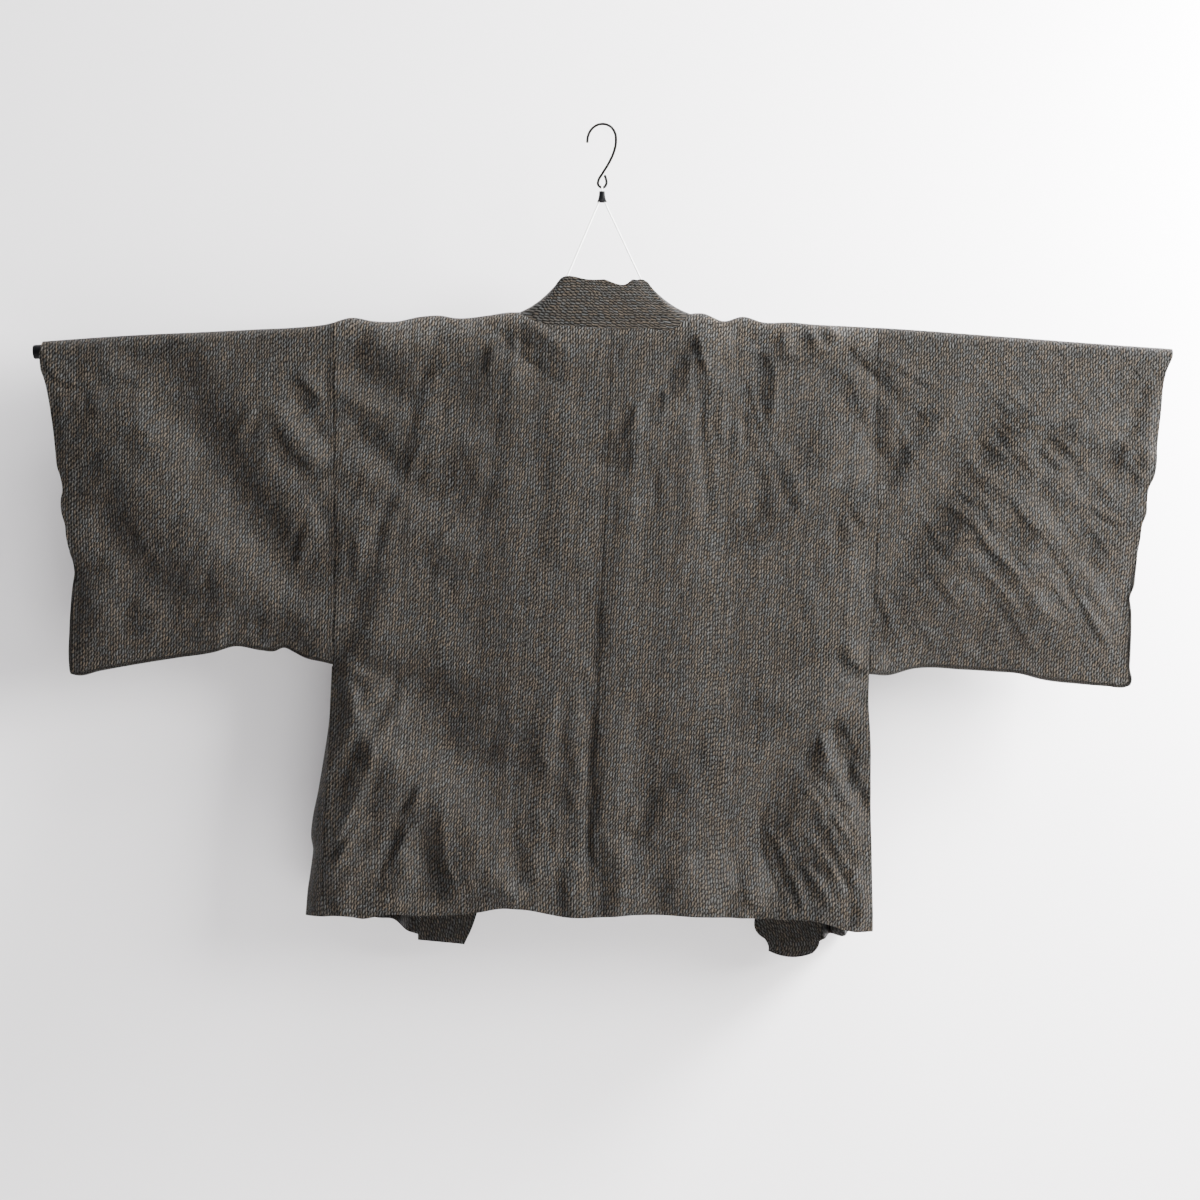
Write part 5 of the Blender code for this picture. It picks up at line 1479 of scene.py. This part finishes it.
# %% Swept and turned meshes
def finished(name, corners, faces, finish):
    mesh = bpy.data.meshes.new(name)
    mesh.from_pydata((np.array(corners) * MM).tolist(), [], faces)
    mesh.shade_smooth()
    mesh.set_sharp_from_angle(angle=math.radians(40))
    mesh.materials.append(finish)
    piece = bpy.data.objects.new(name, mesh)
    bpy.context.scene.collection.objects.link(piece)
    print(name, len(faces), "faces")
    return piece


def smooth_route(points, steps):
    points = np.array(points, float)
    lengths = np.r_[0, np.cumsum(np.linalg.norm(np.diff(points, axis=0), axis=1))]
    at = np.linspace(0, lengths[-1], steps)
    return np.stack([along(np.c_[lengths, column], at) for column in points.T], axis=1)


def frames_along(route):
    """Two sideways directions at each point of a route that turn as little as they can."""
    ahead = np.gradient(route, axis=0)
    ahead /= np.linalg.norm(ahead, axis=1, keepdims=True)
    side = np.cross(ahead[0], (0.31, 0.9, 0.21))
    sides = []
    for direction in ahead:
        side = side - direction * side.dot(direction)
        side = side / np.linalg.norm(side)
        sides.append(side)
    sides = np.array(sides)
    return sides, np.cross(ahead, sides)


def ring_faces(rings, around, start=0):
    faces = [
        (
            start + r * around + k,
            start + r * around + (k + 1) % around,
            start + (r + 1) * around + (k + 1) % around,
            start + (r + 1) * around + k,
        )
        for r in range(rings - 1)
        for k in range(around)
    ]
    faces.append(tuple(start + k for k in range(around))[::-1])
    faces.append(tuple(start + (rings - 1) * around + k for k in range(around)))
    return faces


def rod_mesh(route, radius, around=24):
    """Corners and faces of a round rod; the radius may change along it."""
    route = np.array(route, float)
    one, two = frames_along(route)
    radius = np.broadcast_to(radius, len(route))
    angles = np.linspace(0, 2 * math.pi, around, endpoint=False)
    ring = one[:, None] * np.cos(angles)[:, None] + two[:, None] * np.sin(angles)[:, None]
    corners = route[:, None] + ring * radius[:, None, None]
    return corners.reshape(-1, 3), ring_faces(len(route), around)


# %% [markdown]
# ## Hook
# The hook is one wire, bent over at the top and closed into a small eye at the bottom for the
# cord. Its two cut ends are rounded off by letting the radius fall away.

# %% Build the hook
WIRE_RADIUS = 1.5
HOOK_ROUTE = (
    (-16.6, -19.9), (-15.8, -12.5), (-11.4, -4.0), (-4.3, 0.8), (2.6, 1.5), (9.8, -1.6),
    (14.6, -8.5), (15.7, -17.0), (13.4, -29.5), (7.8, -42.0), (0.6, -53.8), (-3.8, -61.2),
    (-4.4, -66.2), (-1.8, -69.3), (2.4, -69.3), (4.8, -65.7), (4.7, -61.2), (3.6, -57.5),
    (2.9, -55.4),
)


def rounded_ends(count, length, radius):
    at = np.linspace(0, length, count)
    from_end = np.minimum(at, length - at)
    inside = np.clip(from_end / radius, 0, 1)
    return radius * np.sqrt(np.clip(1 - (1 - inside) ** 2, 0.02, 1))


hook_line = np.array([(x, 0.0, z) for x, z in smooth_route(HOOK_ROUTE, 260)])
hook_length = float(np.linalg.norm(np.diff(hook_line, axis=0), axis=1).sum())
hook = finished(
    "hook_wire",
    *rod_mesh(hook_line, rounded_ends(len(hook_line), hook_length, WIRE_RADIUS)),
    dark_wire,
)

# %% [markdown]
# ## Cord
# The cord is tied round the bar on one side of the neck, goes up through the ferrule and over
# the hook's eye, and comes down to be tied on the other side. It is laid from three strands, so
# three thin rods are wound round the one route.

# %% Route of the cord
CORD_RADIUS = 0.8
CORD_ON_BAR = (-59.4, 65.0)
EYE_HEIGHT = -69.7
FERRULE_TOP, FERRULE_BOTTOM, FERRULE_TURN = -73.9, -86.3, -79.7
TIE_TURN = (-250.0, 90.0)
TIE_PITCH = 2.2
TIE_STEPS = 18
STRAND_GAP = 0.12


def tie(tie_x, sign):
    """The cord's turn round the bar, from its loose end to where it leaves for the hook."""
    knot = BAR_RADIUS + TOUCH + CORD_RADIUS
    height = float(bar_height(tie_x))
    turn = []
    for share in np.linspace(0, 1, TIE_STEPS):
        angle = math.radians(TIE_TURN[0] + (TIE_TURN[1] - TIE_TURN[0]) * share)
        x = tie_x + sign * TIE_PITCH * (1 - share)
        turn.append((x, sign * knot * math.cos(angle), height + knot * math.sin(angle)))
    turn.append((tie_x - sign * 1.6, sign * 0.4, height + knot + 3.0))
    return turn


def cord_route():
    loop = WIRE_RADIUS + TOUCH + CORD_RADIUS
    beside = CORD_RADIUS + STRAND_GAP
    strand = [
        (6.0, 0.0, FERRULE_BOTTOM - 6.0),
        (3.1, 0.0, FERRULE_BOTTOM + 0.8),
        (1.5, 0.0, FERRULE_TURN - 1.2),
    ]
    for share in np.linspace(0, 1, 5):
        angle = share * math.pi / 2
        height = FERRULE_TURN + (FERRULE_TOP - FERRULE_TURN) * share
        strand.append((beside * math.cos(angle), beside * math.sin(angle), height))
    for angle in np.radians(np.linspace(-35, 90, 6)):
        strand.append((0.0, loop * math.cos(angle), EYE_HEIGHT + loop * math.sin(angle)))
    other = [(-x, -y, z) for x, y, z in strand[:-1]]
    left, right = CORD_ON_BAR
    return tie(left, -1) + other + strand[::-1] + tie(right, 1)[::-1]


# %% Build the cord
STRANDS = 3
STRAND_RADIUS = 0.58
STRAND_WIND = 0.46
TWIST_LENGTH = 4.6
cord_points = np.array(cord_route())
cord_lengths = np.r_[0, np.cumsum(np.linalg.norm(np.diff(cord_points, axis=0), axis=1))]
cord_at = np.linspace(0, cord_lengths[-1], 900)
cord_line = np.stack([np.interp(cord_at, cord_lengths, column) for column in cord_points.T], axis=1)
cord_one, cord_two = frames_along(cord_line)
cord_corners, cord_faces = [], []
for strand in range(STRANDS):
    turn = 2 * math.pi * (cord_at / TWIST_LENGTH + strand / STRANDS)
    aside = np.cos(turn)[:, None] * cord_one + np.sin(turn)[:, None] * cord_two
    wound = cord_line + STRAND_WIND * aside
    corners, faces = rod_mesh(wound, STRAND_RADIUS, 8)
    cord_faces += [tuple(corner + len(cord_corners) for corner in face) for face in faces]
    cord_corners += corners.tolist()
cord = finished("hanger_cord_strands", cord_corners, cord_faces, white_cord)
only_wall.objects.link(cord)
print("cord", round(float(cord_lengths[-1])), "mm long")


# %% [markdown]
# ## Bar, caps and ferrule
# The bar is a bent plastic tube with a black cap on each end. Under the hook's eye a small
# flared ferrule holds the two legs of the cord together.


# %% Build the bar, caps and ferrule
def turned_mesh(profile, around=40):
    """Corners and faces of a profile of radius and height, turned about Z; 0 closes it."""
    corners, faces = [], []
    rings = []
    for radius, height in profile:
        if radius == 0:
            rings.append([len(corners)] * around)
            corners.append((0, 0, height))
        else:
            rings.append(list(range(len(corners), len(corners) + around)))
            angles = np.linspace(0, 2 * math.pi, around, endpoint=False)
            corners += [(radius * math.cos(a), radius * math.sin(a), height) for a in angles]
    closed = profile[0][0] > 0
    pairs = list(zip(rings, rings[1:])) + ([(rings[-1], rings[0])] if closed else [])
    for low, high in pairs:
        for k in range(around):
            face = (low[k], low[(k + 1) % around], high[(k + 1) % around], high[k])
            faces.append(tuple(dict.fromkeys(face)))
    return corners, faces


CAP_RADIUS, CAP_LENGTH, CAP_EDGE = 8.0, 10.5, 2.0
bar_xs = np.linspace(*BAR_ENDS, 121)
bar_line = np.stack([bar_xs, np.zeros(len(bar_xs)), bar_height(bar_xs)], axis=1)
bar = finished("bar_tube", *rod_mesh(bar_line, BAR_RADIUS, 40), bar_plastic)


def cap(name, end, sign):
    round_off = [
        (CAP_RADIUS - CAP_EDGE * (1 - math.cos(a)), CAP_LENGTH - CAP_EDGE * (1 - math.sin(a)))
        for a in np.radians(np.linspace(0, 90, 6))
    ]
    start = [(0, TOUCH), (CAP_RADIUS - 0.5, TOUCH), (CAP_RADIUS, TOUCH + 0.5)]
    profile = [*start, *round_off, (0, CAP_LENGTH)]
    corners, faces = turned_mesh(profile)
    slope = float(bar_height(end + 1.0) - bar_height(end - 1.0)) / 2
    tip = math.atan(slope)
    placed = []
    for across, deep, out in corners:
        x = sign * (out * math.cos(tip)) - across * math.sin(tip)
        z = sign * (out * math.sin(tip)) + across * math.cos(tip)
        placed.append((end + x, deep, float(bar_height(end)) + z))
    faces = faces if sign < 0 else [face[::-1] for face in faces]
    return finished(name, placed, faces, black_plastic)


cap_left = cap("bar_cap_black_left", BAR_ENDS[0], -1)
cap_right = cap("bar_cap_black_right", BAR_ENDS[1], 1)

# %% Build the ferrule
ferrule_height = FERRULE_TOP - FERRULE_BOTTOM
FERRULE_PROFILE = (
    (2.15, ferrule_height), (2.9, ferrule_height), (3.15, ferrule_height - 0.25),
    (3.3, ferrule_height - 1.4), (3.55, 8.0), (3.9, 5.5), (4.4, 3.4), (4.95, 1.9), (5.4, 0.9),
    (5.5, 0.5), (5.4, 0.15), (5.2, 0.0), (4.6, 0.0), (2.7, 6.0), (2.15, 8.0),
)
ferrule_corners, ferrule_faces = turned_mesh(FERRULE_PROFILE)
ferrule_corners = [(x, y, z + FERRULE_BOTTOM) for x, y, z in ferrule_corners]
ferrule_faces = [face[::-1] for face in ferrule_faces]
ferrule = finished("ferrule_black", ferrule_corners, ferrule_faces, black_plastic)

# %% [markdown]
# ## Joining the frame
# Each piece stands for one solid and rides on the one body.

# %% Say what stands for what
MADE = (
    (panel_left, "body_panel_left", "haori_cloth", haori_cloth),
    (panel_right, "body_panel_right", "haori_cloth", haori_cloth),
    (sleeve_left, "sleeve_left", "haori_cloth", left_sleeve_cloth),
    (sleeve_right, "sleeve_right", "haori_cloth", right_sleeve_cloth),
    (gusset_left, "gusset_left", "haori_cloth", haori_cloth),
    (gusset_right, "gusset_right", "haori_cloth", haori_cloth),
    (collar, "collar_band", "collar_cloth", collar_cloth),
    (bar, "hanger_bar", "bar_plastic", None),
    (cap_left, "bar_cap_left", "black_plastic", None),
    (cap_right, "bar_cap_right", "black_plastic", None),
    (hook, "hanger_hook", "dark_wire", None),
    (cord, "hanger_cord", "white_cord", None),
    (ferrule, "cord_ferrule", "black_plastic", None),
)
for piece, node, slot_name, finish in MADE:
    if finish is not None:
        piece.data.materials.append(finish)
    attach(piece, "root")
    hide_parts(node)

# %% [markdown]
# ## The wrong side of the fronts, in painted shade
# The inner face of the fronts and of the collar's lower course is the wrong side of the cloth,
# which is duller, since fewer of the pale yarns float there. Its darker colour is also painted
# shade, for the lower parts of the fronts that hang in the shade below the back's hem. It could be
# a second sheet, but the shells already have those faces. So each face that lies in front and
# looks back gets the second material of its piece.

# %% The wrong side of the fronts, darkened as painted shade
INSIDE_FROM = 0.02
for piece in (panel_left, panel_right, collar):
    # Painted shade: the inner faces of the fronts and collar get the darker wrong-side finish.
    piece.data.materials.append(wrong_side_and_shade_cloth)
    in_front = [face for face in piece.data.polygons if face.center.y > INSIDE_FROM]
    inside = [face for face in in_front if face.normal.y < 0]
    for face in inside:
        face.material_index = 1
    print(piece.name, len(inside), "faces on the wrong side")
